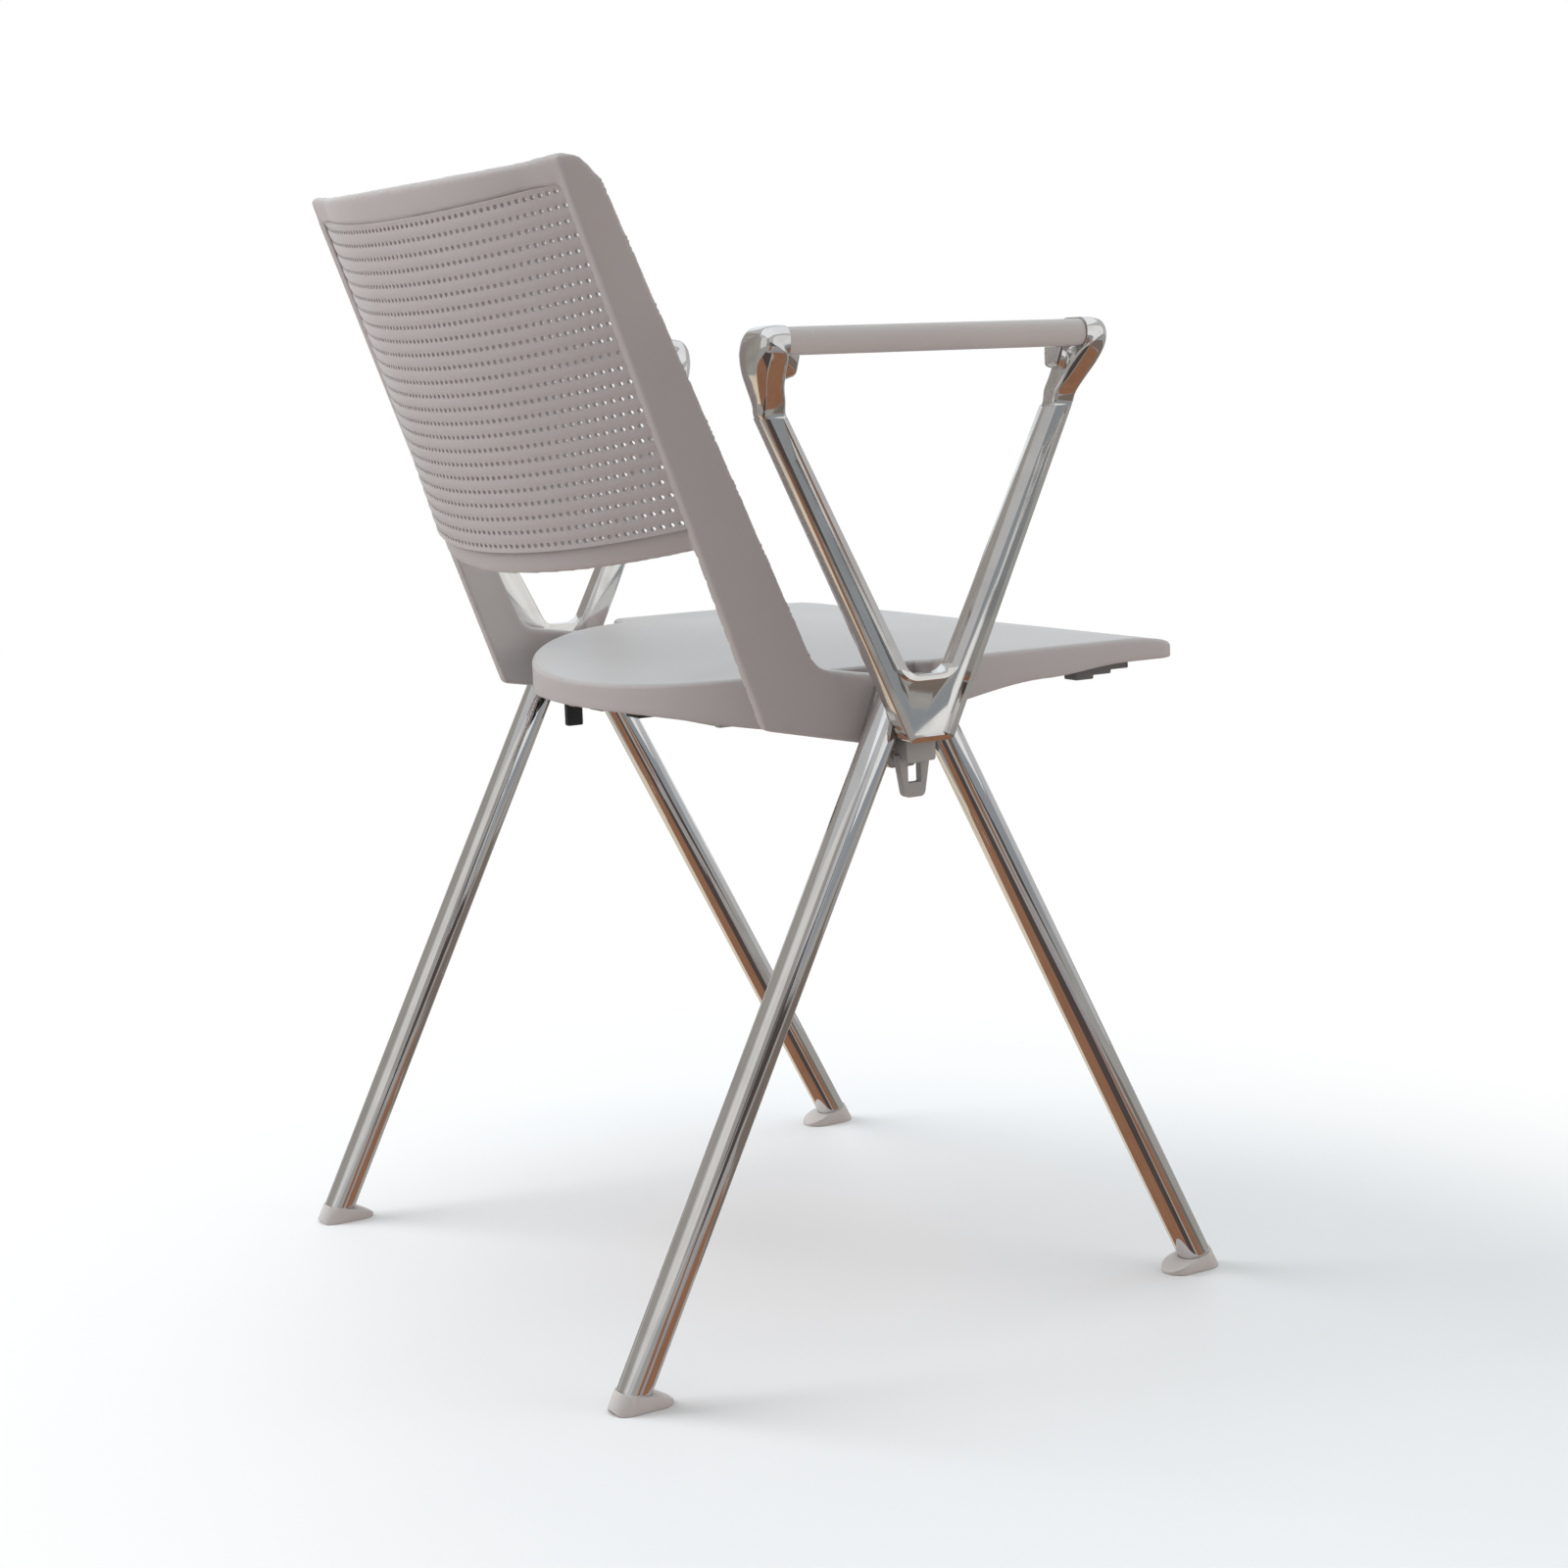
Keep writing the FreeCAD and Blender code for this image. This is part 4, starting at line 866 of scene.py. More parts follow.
@dataclass
class Base:
    """Leg tubes, foot glides, hub plates, cross tube, rails, bumpers, blocks and fasteners."""

    tube_edge: float = 0.5
    foot_edge: float = 0.7
    foot_steps: int = 4
    plate_edge: float = 0.6
    block_edge: float = 0.9
    bolt_edge: float = 0.4
    bolt_steps: int = 2

    def build(self, dresser: Dresser) -> None:
        """Build and dress every piece.

        Args:
            dresser: Gives the finishes.
        """
        for side in Side:
            word = side.word
            for end in ("front", "rear"):
                leg = f"leg_{end}_{word}"
                foot = f"foot_glide_{end}_{word}"
                dresser.copy(leg, f"leg_tube_{end}_{word}", CHROME, self.tube_edge)
                dresser.copy(foot, f"glide_{end}_{word}", GLIDE_PLASTIC, self.foot_edge, self.foot_steps)
            dresser.copy(f"hub_plate_{word}", f"hub_{word}", STEEL, self.plate_edge)
            dresser.copy(f"seat_rail_{word}", f"rail_{word}", STEEL, self.plate_edge)
            dresser.copy(f"stacking_bumper_{word}", f"bumper_{word}", BUMPER_PLASTIC, self.block_edge)
        dresser.copy("cross_tube", "hub_tube", STEEL, self.tube_edge)
        # The block and the loop take the darker plastic, whose darker grey is painted shade.
        dresser.copy("crotch_block_left", "block_left", SHADED_BLOCK_PLASTIC, self.block_edge)
        dresser.copy("link_loop_right", "loop_right", SHADED_BLOCK_PLASTIC, self.block_edge)
        for node in ("side_bolts", "seat_screws", "pad_screws"):
            dresser.copy(node, f"{node}_set", STEEL, self.bolt_edge, self.bolt_steps)


@dataclass
class RowLink:
    """Bar that slides out sideways, its plug and its guides."""

    bar_edge: float = 0.5
    plug_edge: float = 0.8
    guide_edge: float = 0.8

    def build(self, dresser: Dresser) -> None:
        """Build and dress every piece.

        Args:
            dresser: Gives the finishes.
        """
        dresser.copy("link_bar", "row_bar", STEEL, self.bar_edge, body=Body.ROW_LINK)
        dresser.copy("link_plug", "row_plug", BLACK_PLASTIC, self.plug_edge, body=Body.ROW_LINK)
        for end in ("inner", "outer"):
            dresser.copy(f"link_guide_{end}", f"row_guide_{end}", BLACK_PLASTIC, self.guide_edge)


# Seat


@dataclass
class Seat:
    """Dished seat shell with a tapering skirt, hollow below."""

    edge_z: float = 446.0
    half_width: float = 222.0
    wall: float = 4.5
    middle: Flat = (0.0, -60.0)
    front: float = -235.0
    front_bow: float = 11.0
    front_corner: float = 14.0
    wide_end: float = -28.0
    hip_round: float = 5.0
    rear_centre: float = -34.0
    rear_half_width: float = 204.0
    rear_depth: float = 155.5
    dish: float = 18.0
    dish_start: float = -205.0
    dish_length: float = 315.0
    fall_start: float = -190.0
    fall: float = 6.0
    edge_round: float = 3.2
    lip_round: float = 1.4
    inner_lip: float = 0.6
    inner_fillet: float = 3.0
    inner_step: float = 0.9
    tube_z: float = 407.0
    tube_room: float = 14.0
    boss_x: float = 95.0
    boss_rows: tuple[float, ...] = (-150.0, -43.5, 63.0)
    boss_radius: float = 8.0
    boss_bottom: float = 422.5

    # Place along and drop below the edge of the skirt's stations
    skirt_drops: tuple[Flat, ...] = (
        (-320.0, 16.0),
        (-190.0, 16.0),
        (-124.0, 21.0),
        (0.0, 36.0),
        (48.0, 44.0),
        (121.5, 36.0),
    )

    # How finely each run of the shell is drawn
    front_steps: int = 24
    corner_steps: int = 8
    side_steps: int = 24
    hip_steps: int = 6
    rear_steps: int = 48
    edge_steps: int = 5
    lip_steps: int = 3
    boss_steps: int = 20
    skirt_shares: tuple[float, ...] = (0.3, 0.65)
    face_shares: tuple[float, ...] = (
        0.06, 0.14, 0.24, 0.34, 0.44, 0.54, 0.63, 0.71, 0.78, 0.84, 0.89, 0.93, 0.965
    )

    def top(self, x: float, y: float) -> float:
        """Height of the upper face.

        Args:
            x: Place across.
            y: Place along.

        Returns:
            The height.
        """
        dish = self.dish * ease((y - self.dish_start) / self.dish_length)
        past = max(self.fall_start - y, 0.0) / (self.fall_start - self.front)
        return self.edge_z - dish * (1 - (x / self.half_width) ** 2) - self.fall * past ** 2

    def skirt(self, x: float, y: float) -> float:
        """Height of the skirt's lower edge, which clears the cross tube.

        Args:
            x: Place across.
            y: Place along.

        Returns:
            The height.
        """
        stations = self.skirt_drops
        height = self.edge_z - stations[-1][1]
        for (low, low_drop), (high, high_drop) in zip(stations, stations[1:]):
            if y <= high:
                height = self.edge_z - lerp(low_drop, high_drop, ease((y - low) / (high - low)))
                break
        if abs(y) < self.tube_room and abs(x) > self.half_width / 2:
            height = max(height, self.tube_z + math.sqrt(self.tube_room ** 2 - y ** 2))
        return height

    def outline(self, inset: float) -> list[Flat]:
        """Outline seen from above, moved inwards.

        Args:
            inset: How far inwards.

        Returns:
            The outline's points, always as many.
        """
        half = self.half_width - inset
        front = self.front + inset
        wide_end = self.wide_end - inset
        rear_half = self.rear_half_width - inset
        rear_depth = self.rear_depth - inset
        turn = math.asin((wide_end - self.rear_centre) / rear_depth)
        corner = self.front_corner
        span = half - corner
        right = []
        for step in range(self.front_steps + 1):
            x = span * step / self.front_steps
            right.append((x, front - self.front_bow * (1 - (x / span) ** 2)))
        for step in range(1, self.corner_steps + 1):
            angle = math.pi / 2 * step / self.corner_steps
            right.append((span + corner * math.sin(angle), front + corner * (1 - math.cos(angle))))
        side_start = front + corner
        side_end = wide_end - self.hip_round
        for step in range(1, self.side_steps + 1):
            right.append((half, lerp(side_start, side_end, step / self.side_steps)))
        hip = self.hip_round
        for step in range(1, self.hip_steps + 1):
            angle = math.pi / 2 * step / self.hip_steps
            right.append((half - hip + hip * math.cos(angle), side_end + hip * math.sin(angle)))
        waist = rear_half * math.cos(turn)
        right.append((lerp(half - hip, waist, 0.5), wide_end))
        for step in range(self.rear_steps + 1):
            angle = lerp(turn, math.pi / 2, step / self.rear_steps)
            right.append((rear_half * math.cos(angle), self.rear_centre + rear_depth * math.sin(angle)))
        left = [(-x, y) for x, y in reversed(right[1:-1])]
        return right + left

    def build(self, dresser: Dresser) -> None:
        """Build and dress the shell.

        Args:
            dresser: Gives the finish.
        """
        shell = MeshBuilder()
        middle_x, middle_y = self.middle
        edge = self.outline(self.edge_round)

        def shrunk(share: float, lower: float) -> list[Point]:
            """Ring on the upper face, or a distance below it."""
            flat = [(lerp(middle_x, x, share), lerp(middle_y, y, share)) for x, y in edge]
            return [(x, y, self.top(x, y) - lower) for x, y in flat]

        def at(inset: float, height: Callable[[float, float], float]) -> list[Point]:
            """Ring at an inset of the outline, at a height."""
            return [(x, y, height(x, y)) for x, y in self.outline(inset)]

        def side_height(x: float, y: float, share: float) -> float:
            """Height between the rounded edge and the skirt's lower edge."""
            return lerp(self.top(x, y) - self.edge_round, self.skirt(x, y), share)

        rings = [shrunk(share, 0.0) for share in self.face_shares]
        for step in range(self.edge_steps + 1):
            angle = math.pi / 2 * step / self.edge_steps
            inset = self.edge_round * (1 - math.sin(angle))
            drop = self.edge_round * (1 - math.cos(angle))
            rings.append(at(inset, lambda x, y, drop=drop: self.top(x, y) - drop))
        for share in self.skirt_shares:
            rings.append(at(0.0, lambda x, y, share=share: side_height(x, y, share)))
        for step in range(self.lip_steps + 1):
            angle = math.pi / 2 * step / self.lip_steps
            rise = self.lip_round * (1 - math.sin(angle))
            inset = self.lip_round * (1 - math.cos(angle))
            rings.append(at(inset, lambda x, y, rise=rise: self.skirt(x, y) + rise))
        rings.append(at(self.wall - self.inner_lip, self.skirt))
        rings.append(at(self.wall, lambda x, y: self.skirt(x, y) + self.inner_lip))
        rings.append(at(self.wall, lambda x, y: self.top(x, y) - self.wall - self.inner_fillet))
        inset = self.wall + self.inner_step
        rings.append(at(inset, lambda x, y: self.top(x, y) - self.wall - self.inner_step))
        rings.extend(shrunk(share, self.wall) for share in reversed(self.face_shares))
        indices = [shell.ring(ring) for ring in rings]
        for first, second in zip(indices, indices[1:]):
            shell.bridge(first, second)
        top = self.top(middle_x, middle_y)
        shell.fan(indices[0], (middle_x, middle_y, top))
        shell.fan(indices[-1], (middle_x, middle_y, top - self.wall))
        for x in (-self.boss_x, self.boss_x):
            for y in self.boss_rows:
                self.boss(shell, x, y)
        dresser.fit(settle(shell.build("seat")), GREY_PLASTIC, "seat_shell")

    def boss(self, shell: MeshBuilder, x: float, y: float) -> None:
        """Add a round boss that stands on a rail.

        Args:
            shell: Where it is added.
            x: Place across.
            y: Place along.
        """
        loop = circle((x, y), self.boss_radius, self.boss_steps)
        top = self.top(x, y) - self.wall / 2
        shell.loft([[(a, b, height) for a, b in loop] for height in (self.boss_bottom, top)])


# Back


@dataclass
class Bow:
    """How the back leans and bows: s runs up along the blades, d to the rear."""

    foot_y: float = 82.0
    foot_z: float = 407.0
    lean: float = math.radians(20.1)
    low: float = 124.0
    high: float = 384.0
    depth_low: float = 52.0
    depth_high: float = 28.6
    recess: float = 5.0
    half_width: float = 189.887

    def point(self, x: float, s: float, d: float) -> Point:
        """Place in the chair of a place on the back.

        Args:
            x: Place across.
            s: Height along the blades.
            d: Distance behind the blades' rear edges.

        Returns:
            The place.
        """
        y = self.foot_y + s * math.sin(self.lean) + d * math.cos(self.lean)
        z = self.foot_z + s * math.cos(self.lean) - d * math.sin(self.lean)
        return (x, y, z)

    def along(self, y: float, z: float) -> float:
        """How far up along the blades a place lies."""
        return (y - self.foot_y) * math.sin(self.lean) + (z - self.foot_z) * math.cos(self.lean)

    def behind(self, y: float, z: float) -> float:
        """How far a place lies behind the blades' rear edges."""
        return (y - self.foot_y) * math.cos(self.lean) - (z - self.foot_z) * math.sin(self.lean)

    def depth(self, s: float) -> float:
        """How far the back bows at this height."""
        return lerp(self.depth_low, self.depth_high, (s - self.low) / (self.high - self.low))

    def radius(self, s: float) -> float:
        """Radius of the bow at this height."""
        sag = self.depth(s) + self.recess
        return (self.half_width ** 2 + sag ** 2) / (2 * sag)

    def on_arc(self, share: float, reach: float, s: float, inwards: float) -> Point:
        """Place on the bowed sheet.

        Args:
            share: From -1 at one edge to 1 at the other.
            reach: Half width at the edge.
            s: Height along the blades.
            inwards: Distance in front of the rear face.

        Returns:
            The place.
        """
        radius = self.radius(s)
        angle = share * math.asin(reach / radius)
        arm = radius - inwards
        return self.point(arm * math.sin(angle), s, self.depth(s) - radius + arm * math.cos(angle))


@dataclass
class BackFrame:
    """Two L-shaped blades joined by a bowed top and bottom rail."""

    bow: Bow
    inner_x: float = 187.0
    thickness: float = 10.0
    flare_angle: float = math.radians(30.0)
    length: float = 384.0
    depth_foot: float = 40.0
    depth_top: float = 18.0
    top_flat: float = 11.5
    top_drop: float = 4.0
    top_round: float = 11.0
    slant: float = 23.0
    slant_round: float = 24.0
    knee_round: float = 15.0
    edge_round: float = 4.0
    rear_round: float = 1.5
    foot_top: float = 438.0
    foot_slope: float = 0.155
    foot_bottom: float = 386.5
    foot_front: float = -25.0
    foot_round: float = 6.0
    foot_inner_x: float = 206.0
    foot_outer_x: float = 224.0
    bend: float = 40.0
    soft_edge: float = 2.2
    soft_steps: int = 4
    soft_angle: float = math.radians(50.0)
    panel_low: float = 140.3
    panel_high: float = 364.7
    rail_gap: float = 0.05
    top_thickness: float = 7.0
    top_below: float = 3.5
    crown: float = 6.0
    bottom_thickness: float = 7.0
    into_blade: float = 5.0
    rail_foot_round: float = 1.0
    bottom_round: float = 1.5
    crown_round: float = 0.4
    flush_start: float = 0.78
    end_lift: float = 3.2
    blend: float = 1.35
    blend_steps: int = 20
    shoulder_x: float = 188.0
    shoulder_half: float = 6.0
    shoulder_fade: float = 14.0
    shoulder_rise: float = 7.0
    shoulder_steps: int = 36
    tube_room: float = 12.8
    bolt_places: tuple[float, float] = (-16.5, 16.07)
    bolt_z: float = 418.0
    head_room: float = 5.3
    head_depth: float = 4.0
    room_past: float = 20.0

    # How finely the outline, the blades, the rails and the pockets are drawn
    outline_steps: int = 10
    slices: int = 33
    slice_gap: float = 2.5
    slice_reach: float = 0.0001
    rail_steps: int = 72
    rail_corner_steps: int = 5
    room_steps: int = 32

    @property
    def flare(self) -> float:
        """How far a blade's faces run outwards for each step forwards."""
        return math.tan(self.flare_angle)

    def face_x(self, start: float, limit: float, d: float) -> float:
        """Place across of a blade's face, which flares forwards and then runs straight.

        Args:
            start: Place at the rear edge.
            limit: Place of the straight foot.
            d: Distance behind the rear edge, negative forwards.

        Returns:
            The place across.
        """
        forward = -d
        turn = (limit - start) / self.flare
        reach = self.bend * math.tan(self.flare_angle / 2)
        if forward <= turn - reach * math.cos(self.flare_angle):
            return start + self.flare * forward
        if forward >= turn + reach:
            return limit
        into = forward - (turn + reach)
        return limit - (self.bend - math.sqrt(self.bend ** 2 - into ** 2))

    def side_outline(self) -> list[Flat]:
        """Blade's outline from the side.

        Returns:
            Its points, as (y, z).
        """
        sin, cos = math.sin(self.bow.lean), math.cos(self.bow.lean)
        taper = (self.depth_foot - self.depth_top) / self.length
        rise = self.foot_top - self.bow.foot_z - self.depth_foot * sin
        run = self.foot_slope * (self.bow.foot_y - self.depth_foot * cos)
        rate = cos - taper * sin - self.foot_slope * (sin + taper * cos)
        knee = (rise + run) / rate
        slant_end = self.length - self.slant

        def corner(s: float, d: float, radius: float) -> Point:
            """Corner on the leaning blade."""
            return (*self.bow.point(0.0, s, d)[1:], radius)

        corners = [
            corner(0.0, 0.0, self.edge_round),
            corner(self.length, 0.0, self.rear_round),
            corner(self.length - self.top_drop, -self.top_flat, self.top_round),
            corner(slant_end, -(self.depth_foot - taper * slant_end), self.slant_round),
            corner(knee, -(self.depth_foot - taper * knee), self.knee_round),
            (self.foot_front, self.foot_top + self.foot_slope * self.foot_front, self.foot_round),
            (self.foot_front, self.foot_bottom, self.foot_round),
        ]
        return rounded_loop(corners, self.outline_steps)

    def blade(self, side: Side) -> bpy.types.Object:
        """One blade with softened edges.

        Args:
            side: Which one.

        Returns:
            Its object.
        """
        work = bmesh.new()
        corners = [work.verts.new((0.0, y, z)) for y, z in self.side_outline()]
        work.faces.new(corners)
        lean = self.bow.lean
        normal = Vector((0.0, math.cos(lean), -math.sin(lean)))
        for step in range(1, self.slices + 1):
            place = Vector(self.bow.point(0.0, 0.0, -step * self.slice_gap))
            bmesh.ops.bisect_plane(
                work,
                geom=work.verts[:] + work.edges[:] + work.faces[:],
                plane_co=place,
                plane_no=normal,
                dist=self.slice_reach,
            )
        outer = work.faces[:]
        result = bmesh.ops.extrude_face_region(work, geom=outer, use_keep_orig=True)
        inner = {v for v in result["geom"] if isinstance(v, bmesh.types.BMVert)}
        outer_start = self.inner_x + self.thickness
        for vert in work.verts:
            d = self.bow.behind(vert.co.y, vert.co.z)
            if vert in inner:
                x = self.face_x(self.inner_x, self.foot_inner_x, d)
            else:
                x = self.face_x(outer_start, self.foot_outer_x, d)
            vert.co = Vector((side.value * x * MM, (vert.co.y + HUB_PLANE_Y) * MM, vert.co.z * MM))
        bmesh.ops.recalc_face_normals(work, faces=work.faces)
        mesh = bpy.data.meshes.new("blade")
        work.to_mesh(mesh)
        work.free()
        return soften(stand(mesh, f"blade_{side.word}"), self.soft_edge, self.soft_steps, self.soft_angle)

    def rail(self, rails: MeshBuilder, low: float, high: float, thickness: float, crown: float) -> None:
        """Add a bowed rail with rounded edges.

        Args:
            rails: Where it is added.
            low: Height where it starts.
            high: Height where it ends at its ends.
            thickness: Its thickness.
            crown: How far its upper edge arches.
        """
        reach = self.bow.half_width + self.into_blade
        rings = []
        for i in range(self.rail_steps + 1):
            share = -1 + 2 * i / self.rail_steps
            near_end = 0.0
            round_top = self.bottom_round
            if crown:
                near_end = ease((abs(share) - self.flush_start) / (1 - self.flush_start))
                round_top = thickness * self.crown_round
            top = high + crown * (1 - share ** 2) + self.end_lift * near_end
            section = [
                (0.0, low, self.rail_foot_round),
                (thickness, low, self.rail_foot_round),
                (thickness, top, round_top),
                (0.0, top, round_top),
            ]
            loop = rounded_loop(section, self.rail_corner_steps)
            out = self.bow.recess * near_end
            rings.append([self.bow.on_arc(share, reach, s, inwards - out) for inwards, s in loop])
        rails.loft(rings)

    def rooms(self) -> bpy.types.Object:
        """Cutting shape of the pockets for the cross tube and the bolts' heads.

        Returns:
            Its object.
        """
        cutters = MeshBuilder()
        for side in Side:
            holes = [(0.0, self.bow.foot_z, self.tube_room, self.foot_outer_x + self.room_past)]
            for y in self.bolt_places:
                holes.append((y, self.bolt_z, self.head_room, self.foot_inner_x + self.head_depth))
            for y, z, radius, far in holes:
                loop = circle((y, z), radius, self.room_steps)
                ends = (self.foot_inner_x - self.room_past, far)
                cutters.loft([[(side.value * x, a, b) for a, b in loop] for x in ends])
        return cutters.build("rooms")

    def shoulders(self, piece: bpy.types.Object) -> None:
        """Let the top rail's ends run into the blades more softly than the other joints.

        Args:
            piece: The frame.
        """
        group = piece.vertex_groups.new(name="shoulders")
        for vert in piece.data.vertices:
            s = self.bow.along(vert.co.y / MM - HUB_PLANE_Y, vert.co.z / MM)
            off = abs(abs(vert.co.x) / MM - self.shoulder_x) - self.shoulder_half
            weight = ease((s - self.panel_high) / self.shoulder_rise)
            weight *= 1 - ease(off / self.shoulder_fade)
            if weight > 0:
                group.add([vert.index], weight, "REPLACE")
        run = piece.modifiers.new("shoulders", "SMOOTH")
        run.factor = SMOOTHING
        run.iterations = self.shoulder_steps
        run.vertex_group = group.name

    def build(self, dresser: Dresser) -> None:
        """Build and dress the frame.

        Args:
            dresser: Gives the finish.
        """
        rails = MeshBuilder()
        top = self.length - self.top_below
        self.rail(rails, self.panel_high + self.rail_gap, top, self.top_thickness, self.crown)
        self.rail(rails, self.bow.low, self.panel_low - self.rail_gap, self.bottom_thickness, 0.0)
        piece = settle(rails.build("back"))
        merge(piece, [self.blade(side) for side in Side])
        whole = piece.modifiers.new("whole", "REMESH")
        whole.mode = "VOXEL"
        whole.voxel_size = self.blend * MM
        soft = piece.modifiers.new("soft", "SMOOTH")
        soft.factor = SMOOTHING
        soft.iterations = self.blend_steps
        settle(piece)
        self.shoulders(piece)
        rooms = self.rooms()
        pockets = piece.modifiers.new("pockets", "BOOLEAN")
        pockets.operation = "DIFFERENCE"
        pockets.object = rooms
        settle(piece, BLENDED_ANGLE)
        discard(rooms)
        dresser.fit(piece, GREY_PLASTIC, "back_frame")


@dataclass
class Perforations:
    """Bowed panel with staggered rows of round holes and a soft ridge between the rows."""

    bow: Bow
    low: float = 139.6
    high: float = 366.0
    half_width: float = 189.587
    setback: float = 0.5
    thickness: float = 3.4
    rows: int = 24
    columns: int = 55
    pitch: float = 7.0
    hole: float = 2.25
    ridge: float = 0.7
    flat_edge: float = 196.5
    collar: float = 0.45
    collar_stretch: float = 1.25
    rim_steps: int = 4
    rim_share: float = 0.125
    rim_weld: float = 0.2

    @property
    def row_height(self) -> float:
        """Distance between rows."""
        return (self.high - self.low) / self.rows

    def tile(self) -> bpy.types.Object:
        """Flat tile with one hole; its rim is marked, so that rims can be told from holes.

        Returns:
            The tile's object.
        """
        half_u, half_s = self.pitch / 2, self.row_height / 2
        parts = [step / self.rim_steps for step in range(self.rim_steps)]
        rim = [(lerp(-half_u, half_u, part), -half_s) for part in parts]
        rim.append((half_u, -half_s))
        rim.append((half_u, 0.0))
        rim.extend((lerp(half_u, -half_u, part), half_s) for part in parts)
        rim.append((-half_u, half_s))
        rim.append((-half_u, 0.0))
        rings = [rim]
        collar = (lerp(self.hole, half_u, self.collar), self.collar_stretch)
        for radius, stretch in (collar, (self.hole, 1.0)):
            ring = []
            for u, s in rim:
                angle = math.atan2(s / half_s, u / half_u)
                ring.append((radius * math.cos(angle), radius * stretch * math.sin(angle)))
            rings.append(ring)
        points = [(u * MM, s * MM, 0.0) for ring in rings for u, s in ring]
        count = len(rim)
        faces = []
        for ring in range(2):
            for i in range(count):
                j = (i + 1) % count
                low = ring * count
                faces.append((low + i, low + j, low + count + j, low + count + i))
        mesh = bpy.data.meshes.new("tile")
        mesh.from_pydata(points, [], faces)
        mark = mesh.attributes.new("rim", "FLOAT", "POINT")
        mark.data.foreach_set("value", [1.0] * count + [0.0] * (2 * count))
        return stand(mesh, "back_mesh")

    def tree(self) -> bpy.types.NodeTree:
        """Tree that lays the tiles in staggered rows, squares off the ends and bends the sheet.

        Returns:
            The tree.
        """
        tree = bpy.data.node_groups.new("perforated_sheet", "GeometryNodeTree")
        nodes = Nodes(tree)
        counts = ("Rows", "Columns")
        lengths = ("Pitch", "Row Height", "Low", "Edge", "Ridge")
        tree.interface.new_socket("Tile", in_out="INPUT", socket_type="NodeSocketGeometry")
        for name in counts:
            tree.interface.new_socket(name, in_out="INPUT", socket_type="NodeSocketInt")
        for name in lengths:
            tree.interface.new_socket(name, in_out="INPUT", socket_type="NodeSocketFloat")
        tree.interface.new_socket("Material", in_out="INPUT", socket_type="NodeSocketMaterial")
        tree.interface.new_socket("Sheet", in_out="OUTPUT", socket_type="NodeSocketGeometry")
        given = nodes.add("NodeGroupInput").outputs
        rows, columns = (Value(nodes, given[name]) for name in counts)
        pitch, height, low, edge, ridge = (Value(nodes, given[name]) for name in lengths)
        index = Value(nodes, nodes.add("GeometryNodeInputIndex").outputs[0])
        row = (index / columns).floor()
        column = index % columns
        stagger = ((row % 2.0) - 0.5) * (pitch * 0.5)
        across = (column - (columns - 1.0) / 2.0) * pitch + stagger
        along = low + (row + 0.5) * height
        spread = {"Count": rows * columns, "Position": nodes.vector(across, along, 0.0)}
        dots = nodes.add("GeometryNodePoints", None, spread).outputs[0]
        stamped = {"Points": dots, "Instance": given["Tile"]}
        tiles = nodes.add("GeometryNodeInstanceOnPoints", None, stamped).outputs[0]
        laid = nodes.add("GeometryNodeRealizeInstances", None, {"Geometry": tiles}).outputs[0]
        place = nodes.add("GeometryNodeInputPosition").outputs[0]
        u, s, _ = nodes.axes(place)
        rim = nodes.add("GeometryNodeInputNamedAttribute", {"data_type": "FLOAT"}, {"Name": "rim"})
        on_rim = Value(nodes, rim.outputs[0])
        last = (columns - 1.0) / 2.0 * pitch + pitch * self.rim_share
        past_right = u.above(last) * on_rim
        past_left = u.below(0.0 - last) * on_rim
        squared = u * (1.0 - past_right) * (1.0 - past_left) + edge * past_right - edge * past_left
        flat = {"Geometry": laid, "Position": nodes.vector(squared, s, 0.0)}
        trimmed = nodes.add("GeometryNodeSetPosition", None, flat).outputs[0]
        near = {"Geometry": trimmed, "Distance": self.rim_weld * MM}
        welded = nodes.add("GeometryNodeMergeByDistance", None, near).outputs[0]
        curved = {"Geometry": welded, "Position": self.bend(nodes, u, s, low, height, edge, ridge)}
        bent = nodes.add("GeometryNodeSetPosition", None, curved).outputs[0]
        real = nodes.add("GeometryNodeRealizeInstances", None, {"Geometry": bent}).outputs[0]
        finish = {"Geometry": real, "Material": given["Material"]}
        dressed = nodes.add("GeometryNodeSetMaterial", None, finish).outputs[0]
        nodes.add("NodeGroupOutput", None, {"Sheet": dressed})
        return tree

    def bend(
        self, nodes: Nodes, u: Value, s: Value, low: Value, height: Value, edge: Value, ridge: Value
    ) -> bpy.types.NodeSocket:
        """Bent place of a flat place on the sheet.

        Args:
            nodes: The tree.
            u: Flat place across.
            s: Height along the blades.
            low: Height of the lowest row's foot.
            height: Distance between rows.
            edge: Flat place of the sheet's edge.
            ridge: Height of the ridges.

        Returns:
            The place's socket.
        """
        bow = self.bow
        rate = (bow.depth_high - bow.depth_low) / (bow.high - bow.low)
        depth = (s - bow.low * MM) * rate + bow.depth_low * MM
        sag = depth + bow.recess * MM
        half = bow.half_width * MM
        radius = (sag * sag + half * half) / (sag * 2.0)
        angle = (self.half_width * MM / radius).arcsin() * (u / edge)
        wave = ((s - low) / height * (2 * math.pi)).cos() * 0.5 - 0.5
        arm = radius - self.setback * MM + wave * ridge
        d = depth - radius + arm * angle.cos()
        sin, cos = math.sin(bow.lean), math.cos(bow.lean)
        y = (bow.foot_y + HUB_PLANE_Y) * MM + s * sin + d * cos
        z = bow.foot_z * MM + s * cos - d * sin
        return nodes.vector(arm * angle.sin(), y, z)

